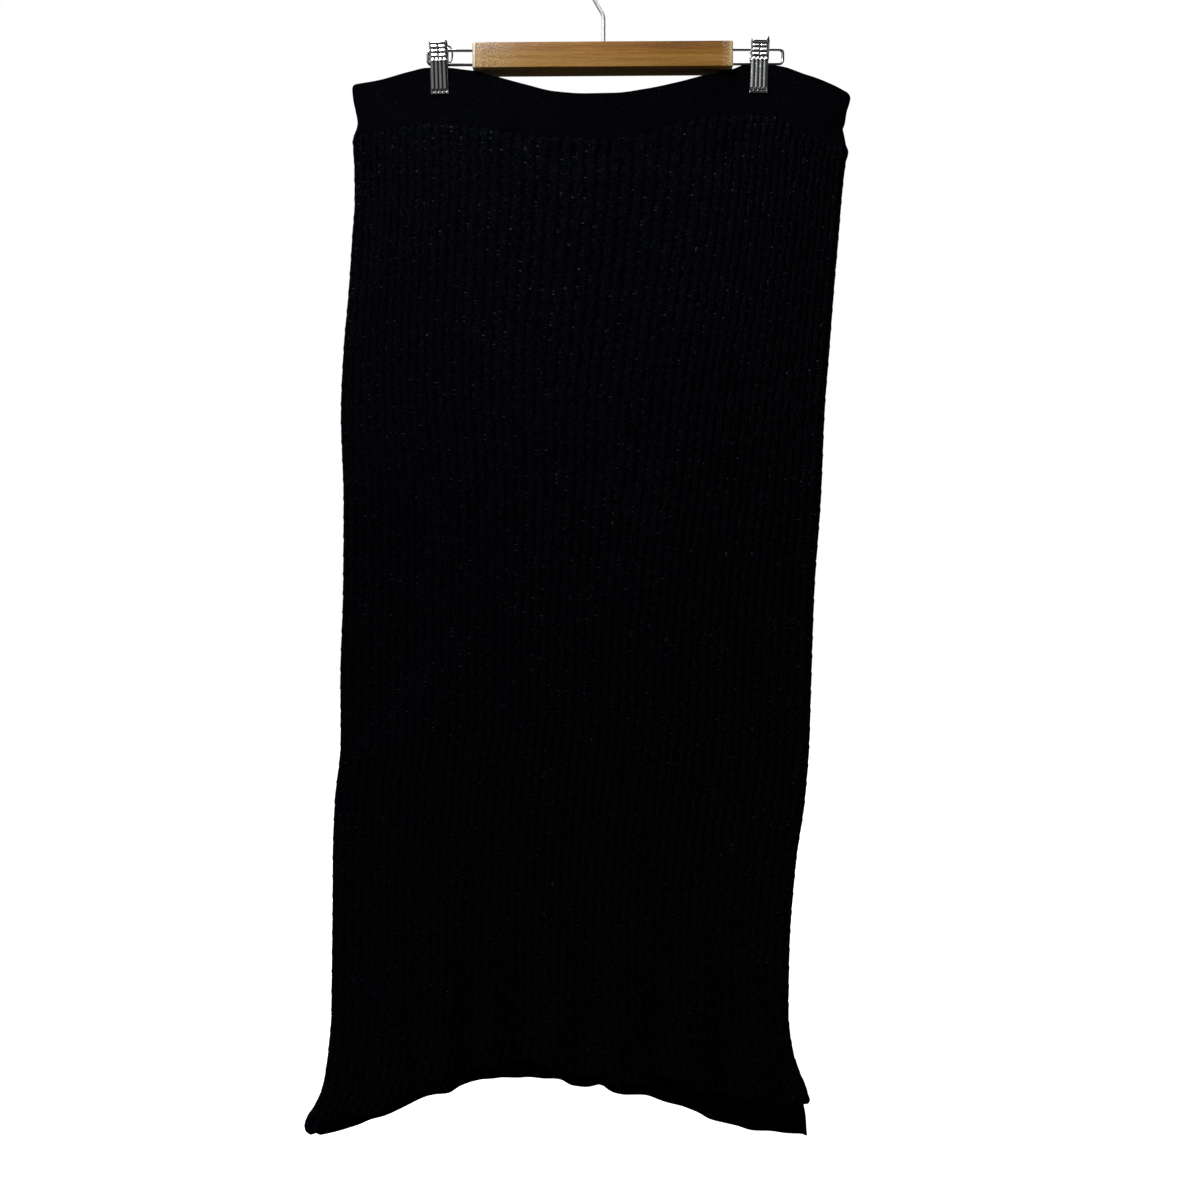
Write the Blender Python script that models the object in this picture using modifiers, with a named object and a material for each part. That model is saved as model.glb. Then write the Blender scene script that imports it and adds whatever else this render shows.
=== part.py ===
"""Maxi skirt of ribbed knit, held by its waistband in the two clips of a bar hanger.

X runs across the skirt, Y to its back and Z up. The origin is the underside of the
hook's crown, where a rail carries the hanger. All sizes below are in millimetres.
"""
import math

import bpy
import bmesh
import numpy as np

MM = 0.001
CLEARANCE = 0.3

# Hanger: heights are drops below the underside of the hook's crown
BAR_DROP = 90.3
BAR_LENGTH, BAR_DEPTH, BAR_HEIGHT = 261.0, 14.0, 25.4
BAR_ROUNDING = 2.6
HOOK_WIRE = 3.8
HOOK_RADIUS = 21.0
HOOK_LEAN = math.radians(30)
HOOK_BEND_RADIUS = 15.0
HOOK_TIP_ANGLE = math.radians(-18)
HOOK_SOCKET_DEPTH = 14.0
RAIL_WIRE = 3.0
RAIL_SPACING = 14.3
RAIL_CORNER = 4.0
RAIL_SOCKET_DEPTH = 16.0
RAIL_SIDES = (
    # name, side of the bar, reach from the hanger's middle, drop of its upper wire
    ("rail_left", -1, 175.5, 96.0),
    ("rail_right", 1, 179.3, 95.0),
)

# Clips: two stamped jaws that pinch the waistband, with a spring between the wires
CLIPS = (
    # name, middle from the hanger's middle, drop of its top, drop of its wire, tilt in degrees
    ("clip_left", -165.0, 86.8, 110.3, -2.1),
    ("clip_right", 156.4, 85.8, 109.3, 1.8),
)
CLIP_HEIGHT = 54.0
CLIP_WIDTH, CLIP_FOOT_WIDTH = 17.6, 19.0
CLIP_SHEET = 0.9
CLIP_FLUTES = 4
CLIP_FLUTE_HEIGHT = 0.7
JAW_PROFILE = (
    # measured from, drop from there, gap from the middle plane, share of the flutes' height
    ("top", 0.0, 6.6, 0.0),
    ("top", 2.0, 5.6, 0.0),
    ("wire", -8.0, 3.2, 0.0),
    ("wire", -5.5, 3.0, 1.0),
    ("wire", 0.0, 1.85, 1.0),
    ("wire", 2.4, 2.8, 1.0),
    ("foot", -9.0, 2.8, 1.0),
    ("foot", -6.5, 2.8, 0.0),
    ("foot", 0.0, 2.8, 0.0),
)
SPRING_WIDTH, SPRING_DIAMETER = 9.0, 5.0
SPRING_ABOVE_WIRE = 7.0

# Cloth: drops are measured down from the waist edge where the clips hold it
WAIST_DROP = 111.5
SEAM_GAP = 0.3
BAND_WALL = 2.3
BODY_WALL = 1.6
RIB_COUNT = 54
RIB_HEIGHT = 1.3
SIDE_CURL = 5.5

SIDES = (
    # drop, left edge, front's right edge, back's right edge
    (20, -253.5, 250.0, 250.0),
    (30, -252.5, 249.0, 249.0),
    (42, -250.0, 245.5, 245.5),
    (54, -248.0, 243.5, 243.5),
    (60, -249.0, 241.5, 241.5),
    (67, -251.5, 243.0, 243.0),
    (84, -251.0, 245.5, 245.5),
    (94, -250.0, 243.0, 243.0),
    (134, -249.5, 238.5, 238.5),
    (164, -251.5, 236.0, 236.0),
    (224, -255.0, 230.5, 230.5),
    (284, -259.5, 225.5, 225.5),
    (344, -261.5, 220.5, 220.5),
    (434, -258.5, 216.5, 216.5),
    (524, -259.5, 210.5, 210.5),
    (614, -262.5, 207.5, 207.5),
    (674, -262.5, 205.5, 205.5),
    (734, -268.5, 200.5, 200.5),
    (794, -270.5, 191.5, 191.5),
    (884, -270.5, 184.5, 184.5),
    (944, -270.5, 183.5, 183.5),
    (974, -272.5, 186.5, 185.5),
    (994, -274.5, 190.5, 189.0),
    (1014, -278.5, 197.5, 193.5),
    (1037, -286.0, 204.5, 199.5),
    (1049, -293.5, 204.5, 201.5),
    (1059, -298.5, 204.5, 202.0),
    (1067, -297.5, 204.5, 202.5),
    (1072, -296.0, 204.5, 202.5),
)

WAIST_EDGE = (
    # across, front's drop, back's drop
    (-251.5, 21.0, 19.5),
    (-243.5, 18.5, 17.5),
    (-215.5, 12.5, 11.5),
    (-187.5, 4.5, 3.5),
    (-172.0, 0.5, 0.5),
    (-155.0, 0.5, 0.5),
    (-131.5, 5.0, 7.0),
    (-103.5, 12.0, 15.0),
    (-75.5, 18.5, 21.5),
    (-47.5, 26.0, 27.0),
    (-19.5, 31.5, 28.5),
    (8.5, 31.5, 27.5),
    (36.5, 27.5, 23.0),
    (64.5, 22.5, 18.5),
    (92.5, 14.5, 11.5),
    (120.5, 6.5, 4.0),
    (146.5, 0.5, 0.5),
    (165.0, 0.5, 0.5),
    (190.5, 8.5, 5.5),
    (218.5, 18.0, 15.0),
    (246.0, 29.5, 27.0),
)

WAIST_SEAM = (
    # across, drop
    (-249.0, 67.0),
    (-218.5, 66.0),
    (-194.5, 59.5),
    (-165.0, 59.0),
    (-116.5, 64.0),
    (-90.5, 70.0),
    (-55.5, 74.0),
    (-3.5, 76.0),
    (39.5, 71.0),
    (74.5, 57.0),
    (100.5, 53.5),
    (143.5, 49.5),
    (169.5, 51.0),
    (183.5, 62.0),
    (213.5, 76.5),
    (239.5, 78.0),
)

HEM = (
    # across, front's drop, back's drop
    (-297.0, 1060.0, 1062.0),
    (-285.5, 1061.0, 1070.0),
    (-273.5, 1053.0, 1070.0),
    (-249.5, 1044.0, 1065.0),
    (-229.5, 1038.0, 1055.0),
    (-209.5, 1033.0, 1049.0),
    (-187.5, 1023.0, 1041.0),
    (-171.5, 1017.0, 1035.5),
    (-155.5, 1014.0, 1031.0),
    (-143.5, 1007.0, 1023.0),
    (-131.5, 1001.0, 1021.0),
    (-117.5, 996.0, 1020.5),
    (-101.5, 992.0, 1016.5),
    (-79.5, 991.0, 1014.5),
    (-58.5, 994.0, 1019.5),
    (-43.5, 1001.0, 1022.0),
    (-32.5, 1004.0, 1026.0),
    (-19.5, 1006.0, 1025.0),
    (-5.5, 1005.0, 1022.5),
    (8.5, 1010.0, 1033.0),
    (22.5, 1012.0, 1037.5),
    (42.5, 1011.0, 1035.0),
    (50.5, 1007.0, 1036.5),
    (76.5, 1007.0, 1045.0),
    (92.5, 1017.0, 1053.5),
    (106.5, 1020.0, 1060.0),
    (128.5, 1023.0, 1061.5),
    (148.5, 1027.0, 1069.0),
    (168.5, 1032.0, 1071.0),
    (203.0, 1032.0, 1071.0),
)

RIB_SPREAD = (
    # share of the ribs from the left seam, share of the width they take at the waist
    (0.0, 0.0),
    (0.148, 0.118),
    (0.296, 0.262),
    (0.49, 0.508),
    (0.685, 0.754),
    (0.85, 0.893),
    (1.0, 1.0),
)
SPREAD_FADE = (90.0, 620.0)

FULLNESS = (
    # drop, distance from the middle plane to the cloth's outer side
    (0, 7.5),
    (60, 7.2),
    (134, 7.6),
    (344, 8.6),
    (614, 10.0),
    (794, 11.0),
    (944, 12.5),
    (1067, 15.0),
)
GRIP = (
    # drop, how far the clips still hold front and back together
    (0, 1.0),
    (34, 1.0),
    (64, 0.7),
    (134, 0.3),
    (284, 0.0),
)
GRIP_FLAT, GRIP_EDGE = 19.0, 62.0
GRIPPED = 2.3
MOUTH_REACH, MOUTH_WIDTH, MOUTH_DROP = 4.5, 62.0, 90.0

# The ends beyond the clips fall back, and the sides sway a little lower down
FALL_BACK, FALL_BACK_FADE = 10.0, (120.0, 460.0)
SIDE_SWAY = (
    # drop, how far the left side lies back, how far the right side does
    (0, 0.0, 0.0),
    (344, 0.0, 2.0),
    (614, 5.0, 6.0),
    (794, 7.0, 2.0),
    (944, 2.0, 0.0),
    (1067, -8.0, -6.0),
)

FRONT_FOLDS = (
    # across at the hem, half width, height outwards, reach up from the hem
    (-258.0, 13.0, -4.0, 170.0),
    (-216.0, 13.0, 4.5, 190.0),
    (-190.0, 12.0, -4.5, 170.0),
    (-157.0, 12.0, 6.0, 250.0),
    (-136.0, 9.0, -7.5, 200.0),
    (-113.0, 12.0, 5.5, 220.0),
    (-80.0, 13.0, -6.0, 190.0),
    (-44.0, 13.0, 5.5, 230.0),
    (-20.0, 11.0, -5.0, 150.0),
    (13.0, 13.0, 5.5, 270.0),
    (54.0, 13.0, -5.0, 180.0),
    (87.0, 14.0, 5.5, 240.0),
    (120.0, 12.0, -5.5, 150.0),
    (152.0, 12.0, 4.5, 170.0),
    (180.0, 10.0, -3.5, 120.0),
)
BACK_FOLDS = (
    # across at the hem, half width, height outwards, reach up from the hem
    (-252.0, 14.0, 4.0, 150.0),
    (-222.0, 13.0, -4.5, 190.0),
    (-182.0, 15.0, 6.0, 260.0),
    (-148.0, 12.0, -5.5, 180.0),
    (-120.0, 11.0, 4.5, 160.0),
    (-84.0, 15.0, -6.0, 240.0),
    (-46.0, 14.0, 6.0, 200.0),
    (-12.0, 13.0, -5.5, 220.0),
    (24.0, 14.0, 5.5, 180.0),
    (62.0, 15.0, -5.5, 260.0),
    (98.0, 12.0, 5.0, 190.0),
    (132.0, 13.0, -5.0, 160.0),
    (168.0, 12.0, 4.5, 210.0),
)

# Rows of points, as shares of the way down the band, the body and the last of the hem
BAND_ROWS = (0.0, 0.1, 0.35, 0.65, 0.9, 1.0)
BODY_ROWS = (0.0, 0.028, 0.09, 0.2, 0.35, 0.51, 0.67, 0.82, 0.92, 1.0)
HEM_ROWS = (0.33, 0.68, 1.0)
HEM_START = 944.0

# Colours as linear red, green and blue, then roughness and metallic
FINISHES = {
    "ribbed_knit": ((0.012, 0.013, 0.019), 0.85, 0.0),
    "plain_knit": ((0.010, 0.011, 0.016), 0.88, 0.0),
    "varnished_wood": ((0.46, 0.22, 0.075), 0.3, 0.0),
    "chrome": ((0.78, 0.79, 0.80), 0.12, 1.0),
    "spring_steel": ((0.42, 0.42, 0.43), 0.3, 1.0),
}


def clear_scene():
    """Removes whatever the file opened with."""
    for old in list(bpy.data.objects):
        bpy.data.objects.remove(old)


def new_collection(name):
    """Adds a collection to the scene."""
    group = bpy.data.collections.new(name)
    bpy.context.scene.collection.children.link(group)
    return group


def make_finish(name):
    """Makes a material from its colour, roughness and metallic value."""
    colour, roughness, metallic = FINISHES[name]
    finish = bpy.data.materials.new(name)
    finish.use_nodes = True
    shader = finish.node_tree.nodes["Principled BSDF"]
    shader.inputs["Base Color"].default_value = (*colour, 1.0)
    shader.inputs["Roughness"].default_value = roughness
    shader.inputs["Metallic"].default_value = metallic
    return finish


def put_in(group, piece):
    """Moves a piece into one collection."""
    for holder in list(piece.users_collection):
        holder.objects.unlink(piece)
    group.objects.link(piece)


def finish_piece(piece, name, group, finish):
    """Names a piece, gives it a material of its own and files it."""
    piece.name = name
    piece.data.name = name
    own = finish.copy()
    own.name = name + "_finish"
    piece.data.materials.clear()
    piece.data.materials.append(own)
    put_in(group, piece)
    return piece


def ease(share):
    """Turns 0..1 into a soft start and stop."""
    share = np.clip(share, 0.0, 1.0)
    return share * share * (3.0 - 2.0 * share)


def read(table, at, column=1):
    """Reads one column of a table at the values given for its first column."""
    rows = np.array(table, dtype=float)
    return np.interp(at, rows[:, 0], rows[:, column])


def rib_share(ribs, drop):
    """Share of the width at each rib: bunched by the clips at the waist, even lower down."""
    fade = 1.0 - ease((drop - SPREAD_FADE[0]) / (SPREAD_FADE[1] - SPREAD_FADE[0]))
    return ribs + (read(RIB_SPREAD, ribs) - ribs) * fade


def waist_ribs(across):
    """Rib share at places along the waist seam: the way back from width to ribs."""
    left, right = WAIST_SEAM[0][0], WAIST_SEAM[-1][0]
    spread = np.array(RIB_SPREAD)
    return np.interp((np.array(across) - left) / (right - left), spread[:, 1], spread[:, 0])


def edge_drop(table, ribs, column=1):
    """Drop of a waist line at each rib, straight across each rib."""
    rows = np.array(table, dtype=float)
    valleys = np.linspace(0.0, 1.0, RIB_COUNT + 1)
    return np.interp(ribs, valleys, np.interp(valleys, waist_ribs(rows[:, 0]), rows[:, column]))


def hem_drop(ribs, column):
    """Drop of the hem at each rib, where the ribs are evenly spread."""
    rows = np.array(HEM, dtype=float)
    share = (rows[:, 0] - rows[0, 0]) / (rows[-1, 0] - rows[0, 0])
    return np.interp(ribs, share, rows[:, column])


def middle_plane(across, drop):
    """How far back the plane between front and back lies."""
    beyond = np.maximum(ease((-across - 172.0) / 85.0), ease((across - 165.0) / 85.0))
    fade = 1.0 - ease((drop - FALL_BACK_FADE[0]) / (FALL_BACK_FADE[1] - FALL_BACK_FADE[0]))
    sway_left = read(SIDE_SWAY, drop, 1) * ease((-across - 90.0) / 190.0)
    sway_right = read(SIDE_SWAY, drop, 2) * ease((across - 40.0) / 170.0)
    return FALL_BACK * beyond * fade + sway_left + sway_right


def fullness(face, across, drop, hem):
    """Distance from the middle plane to the cloth's outer side, before its ribs."""
    depth = read(FULLNESS, drop)
    mouth = np.exp(-(across / MOUTH_WIDTH) ** 2) * np.clip(1.0 - drop / MOUTH_DROP, 0.0, 1.0)
    depth = depth + MOUTH_REACH * mouth
    near = np.zeros_like(across)
    for _, middle, _, _, _ in CLIPS:
        away = (np.abs(across - middle) - GRIP_FLAT) / (GRIP_EDGE - GRIP_FLAT)
        near = np.maximum(near, 1.0 - ease(away))
    grip = near * read(GRIP, drop)
    depth = depth * (1.0 - grip) + GRIPPED * grip
    for place, half_width, height, reach in (FRONT_FOLDS if face > 0 else BACK_FOLDS):
        rise = ease(1.0 - (hem - drop) / reach)
        depth = depth + height * rise * np.exp(-((across - place) / half_width) ** 2)
    return depth


def rows_between(top, bottom, shares):
    """Drops of rows that part the way from one line of the cloth to another."""
    return top + np.array(shares)[:, None] * (bottom - top)


def drape(face, ribs, drop, offset):
    """Points of one side of a panel, as rows down the cloth by ribs across it.

    A level section runs from the left seam forward round a quarter turn, across the
    panel and back to the right seam. offset moves its points out from the cloth's own
    side, and -wall gives the plain inside.
    """
    left = read(SIDES, drop[:, :1], 1)
    right = read(SIDES, drop[:, -1:], 2 if face > 0 else 3)
    quarter = SIDE_CURL * math.pi / 2.0
    length = right - left - 2.0 * SIDE_CURL + 2.0 * quarter
    run = rib_share(ribs, drop) * length
    first_half = run < length / 2.0
    from_seam = np.where(first_half, run, length - run)
    turn = np.clip(from_seam / quarter, 0.0, 1.0) * math.pi / 2.0
    inwards = SIDE_CURL * (1.0 - np.cos(turn)) + np.maximum(from_seam - quarter, 0.0)
    outward = np.where(first_half, -1.0, 1.0)
    across = np.where(first_half, left + inwards, right - inwards)
    hem = hem_drop(ribs, 1 if face > 0 else 2)
    depth = fullness(face, across, drop, hem) * np.sin(turn)
    across = across + outward * np.cos(turn) * offset
    depth = depth + np.sin(turn) * offset + SEAM_GAP / 2.0
    back = middle_plane(across, drop) - face * depth
    return np.stack([across, back, -(WAIST_DROP + drop)], axis=-1) * MM


def cloth_wall(name, outside, inside):
    """Closes a wall between an outer and an inner grid whose columns may differ in number."""
    step = (outside.shape[1] - 1) // (inside.shape[1] - 1)
    row_count, outer_count = outside.shape[:2]
    inner_count = inside.shape[1]
    points = np.concatenate([outside.reshape(-1, 3), inside.reshape(-1, 3)])
    base = row_count * outer_count

    def outer(row, column):
        return row * outer_count + column

    def inner(row, column):
        return base + row * inner_count + column

    faces = []
    for row in range(row_count - 1):
        for column in range(outer_count - 1):
            faces.append((outer(row, column), outer(row, column + 1),
                          outer(row + 1, column + 1), outer(row + 1, column)))
        for column in range(inner_count - 1):
            faces.append((inner(row, column), inner(row + 1, column),
                          inner(row + 1, column + 1), inner(row, column + 1)))
        for column, other in ((0, 0), (outer_count - 1, inner_count - 1)):
            faces.append((outer(row, column), outer(row + 1, column),
                          inner(row + 1, other), inner(row, other)))
    for row in (0, row_count - 1):
        for column in range(inner_count - 1):
            rim = [outer(row, column * step + k) for k in range(step + 1)]
            faces.append((*rim, inner(row, column + 1), inner(row, column)))
    shape = bpy.data.meshes.new(name)
    shape.from_pydata(points.tolist(), [], faces)
    tidy = bmesh.new()
    tidy.from_mesh(shape)
    bmesh.ops.recalc_face_normals(tidy, faces=tidy.faces)
    tidy.to_mesh(shape)
    tidy.free()
    return bpy.data.objects.new(name, shape)


def skirt_panel(face):
    """Front or back panel: ribs raised from a thin wall, from the waist seam to the hem."""
    outer_ribs = np.linspace(0.0, 1.0, 2 * RIB_COUNT + 1)
    inner_ribs = np.linspace(0.0, 1.0, RIB_COUNT + 1)
    column = 1 if face > 0 else 2
    crest = np.where(np.arange(2 * RIB_COUNT + 1) % 2 == 1, RIB_HEIGHT, 0.0)
    grids = []
    for ribs, offset in ((outer_ribs, crest), (inner_ribs, -BODY_WALL)):
        top = edge_drop(WAIST_SEAM, ribs) + SEAM_GAP / 2.0
        drops = np.concatenate([rows_between(top, HEM_START, BODY_ROWS),
                                rows_between(HEM_START, hem_drop(ribs, column), HEM_ROWS)])
        grids.append(drape(face, ribs, drops, offset))
    return cloth_wall("skirt_front" if face > 0 else "skirt_back", *grids)


def waistband(face):
    """Front or back half of the plain band, from the waist edge to the waist seam."""
    ribs = np.linspace(0.0, 1.0, RIB_COUNT + 1)
    top = edge_drop(WAIST_EDGE, ribs, 1 if face > 0 else 2)
    bottom = edge_drop(WAIST_SEAM, ribs) - SEAM_GAP / 2.0
    drops = rows_between(top, bottom, BAND_ROWS)
    grids = [drape(face, ribs, drops, offset) for offset in (0.0, -BAND_WALL)]
    return cloth_wall("waistband_front" if face > 0 else "waistband_back", *grids)


def wire(name, points, diameter):
    """A round wire with filled ends along points in the plane of the hanger."""
    curve = bpy.data.curves.new(name, "CURVE")
    curve.dimensions = "3D"
    curve.bevel_depth = diameter / 2.0 * MM
    curve.bevel_resolution = 2
    curve.use_fill_caps = True
    spline = curve.splines.new("POLY")
    spline.points.add(len(points) - 1)
    for place, (across, height) in zip(spline.points, points):
        place.co = (across * MM, 0.0, height * MM, 1.0)
    return bpy.data.objects.new(name, curve)


def arc(middle, radius, start, stop, steps):
    """Points round an arc, from one angle to another."""
    return [(middle[0] + radius * math.cos(angle), middle[1] + radius * math.sin(angle))
            for angle in np.linspace(start, stop, steps + 1)]


def hook_points():
    """Straight stem, a short bend, a straight lean and the round crown past three o'clock."""
    crown = (0.0, HOOK_WIRE / 2.0 - HOOK_RADIUS)
    lean_start = math.pi + HOOK_LEAN
    foot = (crown[0] + HOOK_RADIUS * math.cos(lean_start), crown[1] + HOOK_RADIUS * math.sin(lean_start))
    corner = foot[1] + foot[0] / math.tan(HOOK_LEAN)
    bend_start = corner - HOOK_BEND_RADIUS * math.tan(HOOK_LEAN / 2.0)
    stem = [(0.0, -(BAR_DROP + HOOK_SOCKET_DEPTH - CLEARANCE))]
    bend = arc((-HOOK_BEND_RADIUS, bend_start), HOOK_BEND_RADIUS, 0.0, HOOK_LEAN, 4)
    top = arc(crown, HOOK_RADIUS, lean_start, HOOK_TIP_ANGLE, 20)
    return stem + bend + top


def rail_points(side, reach, drop):
    """A U of wire: out of the bar along the top, round two corners and back along the foot."""
    inside = BAR_LENGTH / 2.0 - RAIL_SOCKET_DEPTH + CLEARANCE
    high, low = -drop, -drop - RAIL_SPACING
    turn = reach - RAIL_CORNER
    upper = arc((turn, high - RAIL_CORNER), RAIL_CORNER, math.pi / 2.0, 0.0, 4)
    lower = arc((turn, low + RAIL_CORNER), RAIL_CORNER, 0.0, -math.pi / 2.0, 4)
    return [(side * across, height) for across, height in [(inside, high), *upper, *lower, (inside, low)]]


def socket_cutter(name, place, axis, depth, diameter, cutters):
    """A drill for a blind hole, centred on the surface it goes into."""
    bpy.ops.mesh.primitive_cylinder_add(vertices=12, radius=diameter / 2.0 * MM, depth=2.0 * depth * MM)
    drill = bpy.context.object
    drill.name = name
    drill.location = [value * MM for value in place]
    if axis == "X":
        drill.rotation_euler = (0.0, math.pi / 2.0, 0.0)
    drill.hide_render = True
    drill.display_type = "WIRE"
    put_in(cutters, drill)
    return drill


def hanger_bar(cutters):
    """Wooden bar with eased edges and blind holes for the hook and the rails."""
    bpy.ops.mesh.primitive_cube_add(size=1.0)
    bar = bpy.context.object
    for corner in bar.data.vertices:
        corner.co.x *= BAR_LENGTH * MM
        corner.co.y *= BAR_DEPTH * MM
        corner.co.z *= BAR_HEIGHT * MM
    bar.location.z = -(BAR_DROP + BAR_HEIGHT / 2.0) * MM
    easing = bar.modifiers.new("eased_edges", "BEVEL")
    easing.width = BAR_ROUNDING * MM
    easing.segments = 3
    drills = [socket_cutter("hook_socket", (0.0, 0.0, -BAR_DROP), "Z", HOOK_SOCKET_DEPTH,
                            HOOK_WIRE + 2.0 * CLEARANCE, cutters)]
    for name, side, _, drop in RAIL_SIDES:
        for wire_name, height in (("upper", -drop), ("lower", -drop - RAIL_SPACING)):
            place = (side * BAR_LENGTH / 2.0, 0.0, height)
            drills.append(socket_cutter(f"{name}_{wire_name}_socket", place, "X", RAIL_SOCKET_DEPTH,
                                        RAIL_WIRE + 2.0 * CLEARANCE, cutters))
    for drill in drills:
        cut = bar.modifiers.new(drill.name, "BOOLEAN")
        cut.operation = "DIFFERENCE"
        cut.solver = "EXACT"
        cut.object = drill
    return bar


def clip_jaw(name, face, wire_drop):
    """One stamped jaw: a fluted sheet that nips in at the lower wire and flares at its foot."""
    starts = {"top": 0.0, "wire": wire_drop, "foot": CLIP_HEIGHT}
    rows = np.array([(starts[mark] + drop, gap, flutes) for mark, drop, gap, flutes in JAW_PROFILE])
    columns = np.linspace(-1.0, 1.0, 2 * CLIP_FLUTES + 1)
    flute = np.where(np.arange(columns.size) % 2 == 1, CLIP_FLUTE_HEIGHT, 0.0)
    share = rows[:, :1] / CLIP_HEIGHT
    half_width = (CLIP_WIDTH + (CLIP_FOOT_WIDTH - CLIP_WIDTH) * share ** 3) / 2.0
    across = half_width * columns
    back = -face * (rows[:, 1:2] + rows[:, 2:3] * flute)
    height = np.repeat(-rows[:, :1], columns.size, axis=1)
    points = np.stack([across, back, height], axis=-1).reshape(-1, 3) * MM
    count = columns.size
    faces = [(row * count + column, row * count + column + 1,
              (row + 1) * count + column + 1, (row + 1) * count + column)
             for row in range(len(rows) - 1) for column in range(count - 1)]
    shape = bpy.data.meshes.new(name)
    shape.from_pydata(points.tolist(), [], [ring if face > 0 else ring[::-1] for ring in faces])
    jaw = bpy.data.objects.new(name, shape)
    sheet = jaw.modifiers.new("sheet_metal", "SOLIDIFY")
    sheet.thickness = CLIP_SHEET * MM
    sheet.offset = -1.0
    return jaw


def clip_spring():
    """The coil between the jaws, as the plain cylinder that it fills."""
    bpy.ops.mesh.primitive_cylinder_add(vertices=16, radius=SPRING_DIAMETER / 2.0 * MM,
                                        depth=SPRING_WIDTH * MM)
    spring = bpy.context.object
    spring.data.shade_smooth()
    spring.data.set_sharp_from_angle(angle=math.radians(40))
    return spring


def build_hanger(group, cutters, finishes):
    """Bar, hook, rails and both clips."""
    finish_piece(hanger_bar(cutters), "hanger_bar", group, finishes["varnished_wood"])
    finish_piece(wire("hanger_hook", hook_points(), HOOK_WIRE), "hanger_hook", group, finishes["chrome"])
    for name, side, reach, drop in RAIL_SIDES:
        rail = wire(name, rail_points(side, reach, drop), RAIL_WIRE)
        finish_piece(rail, name, group, finishes["chrome"])
    for name, middle, drop, wire_drop, tilt in CLIPS:
        for jaw_name, face in (("front_jaw", 1), ("back_jaw", -1)):
            jaw = clip_jaw(name, face, wire_drop - drop)
            finish_piece(jaw, f"{name}_{jaw_name}", group, finishes["chrome"])
            jaw.location = (middle * MM, 0.0, -drop * MM)
            jaw.rotation_euler = (0.0, math.radians(tilt), 0.0)
        spring = finish_piece(clip_spring(), name + "_spring", group, finishes["spring_steel"])
        spring.location = (middle * MM, 0.0, -(wire_drop - SPRING_ABOVE_WIRE) * MM)
        spring.rotation_euler = (0.0, math.pi / 2.0, 0.0)


def build_skirt(group, finishes):
    """Two ribbed panels and the two halves of the waistband."""
    for face, side in ((1, "front"), (-1, "back")):
        finish_piece(skirt_panel(face), "skirt_" + side, group, finishes["ribbed_knit"])
        finish_piece(waistband(face), "waistband_" + side, group, finishes["plain_knit"])


clear_scene()
parts = new_collection("maxi_skirt_on_hanger")
drills = new_collection("cutters")
all_finishes = {name: make_finish(name) for name in FINISHES}
build_hanger(parts, drills, all_finishes)
build_skirt(parts, all_finishes)
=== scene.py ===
"""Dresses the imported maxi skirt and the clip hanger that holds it.

Sizes are in millimetres and MM turns them into metres. The origin is the underside of
the hook's crown; X runs across the skirt, Y to its back and Z up, so a drop below the
crown is a negative Z.
"""

import math
from functools import partialmethod

import bpy
import numpy as np
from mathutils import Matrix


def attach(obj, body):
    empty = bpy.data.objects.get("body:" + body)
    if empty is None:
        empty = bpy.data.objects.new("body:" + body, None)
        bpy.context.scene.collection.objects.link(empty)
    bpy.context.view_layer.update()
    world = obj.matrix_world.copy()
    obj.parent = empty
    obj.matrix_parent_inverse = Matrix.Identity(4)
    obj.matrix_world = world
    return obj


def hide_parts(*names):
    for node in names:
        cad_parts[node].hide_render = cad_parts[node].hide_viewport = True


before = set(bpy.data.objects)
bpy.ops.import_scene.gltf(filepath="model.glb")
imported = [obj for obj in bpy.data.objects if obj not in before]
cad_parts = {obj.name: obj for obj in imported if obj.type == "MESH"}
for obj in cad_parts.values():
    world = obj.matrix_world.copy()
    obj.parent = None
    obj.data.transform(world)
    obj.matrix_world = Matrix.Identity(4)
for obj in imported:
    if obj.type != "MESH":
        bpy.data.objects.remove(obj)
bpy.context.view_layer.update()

# The wooden bar
# A planed hardwood bar with eased edges under a thick glossy varnish, square cut at its
# ends, where two pairs of blind holes take the wires of the rails. Its right end hangs a little
# higher.
MM = 0.001
BAR_DROP, BAR_SHIFT = 91.7, -0.8
BAR_LENGTH, BAR_DEPTH, BAR_HEIGHT = 258.6, 19.6, 25.4
BAR_EDGE, BAR_END, BAR_SLOPE = 0.7, 1.4, 0.0065
WOOD_DARK, WOOD_MID, WOOD_LIGHT = (0.200, 0.068, 0.003), (0.345, 0.144, 0.011), (0.500, 0.252, 0.050)
WOOD_PORE = (0.110, 0.036, 0.004)
# Pale colour painted near the ends as highlights on the varnish
PAINTED_GLINT = (0.980, 0.790, 0.500)
GRAIN_SCALE, WOOD_DRIFT_SCALE, PORE_SCALE = (7, 110, 260), (9, 14, 16), (90, 1100, 1500)
GLINT_NOISE_SCALE, RIPPLE_SCALE = (800, 800, 650), (420, 420, 420)
GRAIN_DEPTH, RIPPLE_DEPTH = 0.00022, 0.00030
# Where pale highlights are painted on the varnish, in metres from the bar's end: a rim, a gap
# behind the left one, a patch and a wide speckle
LEFT_RIM, LEFT_RIM_STOP, RIGHT_RIM = (0.0004, 0.0012), (0.0024, 0.0032), (0.0006, 0.0075)
GAP_START, GAP_STOP, PATCH, SPECKLE = (0.0024, 0.0030), (0.0042, 0.0048), (0.0080, 0.0120), (0.0100, 0.0600)


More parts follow.
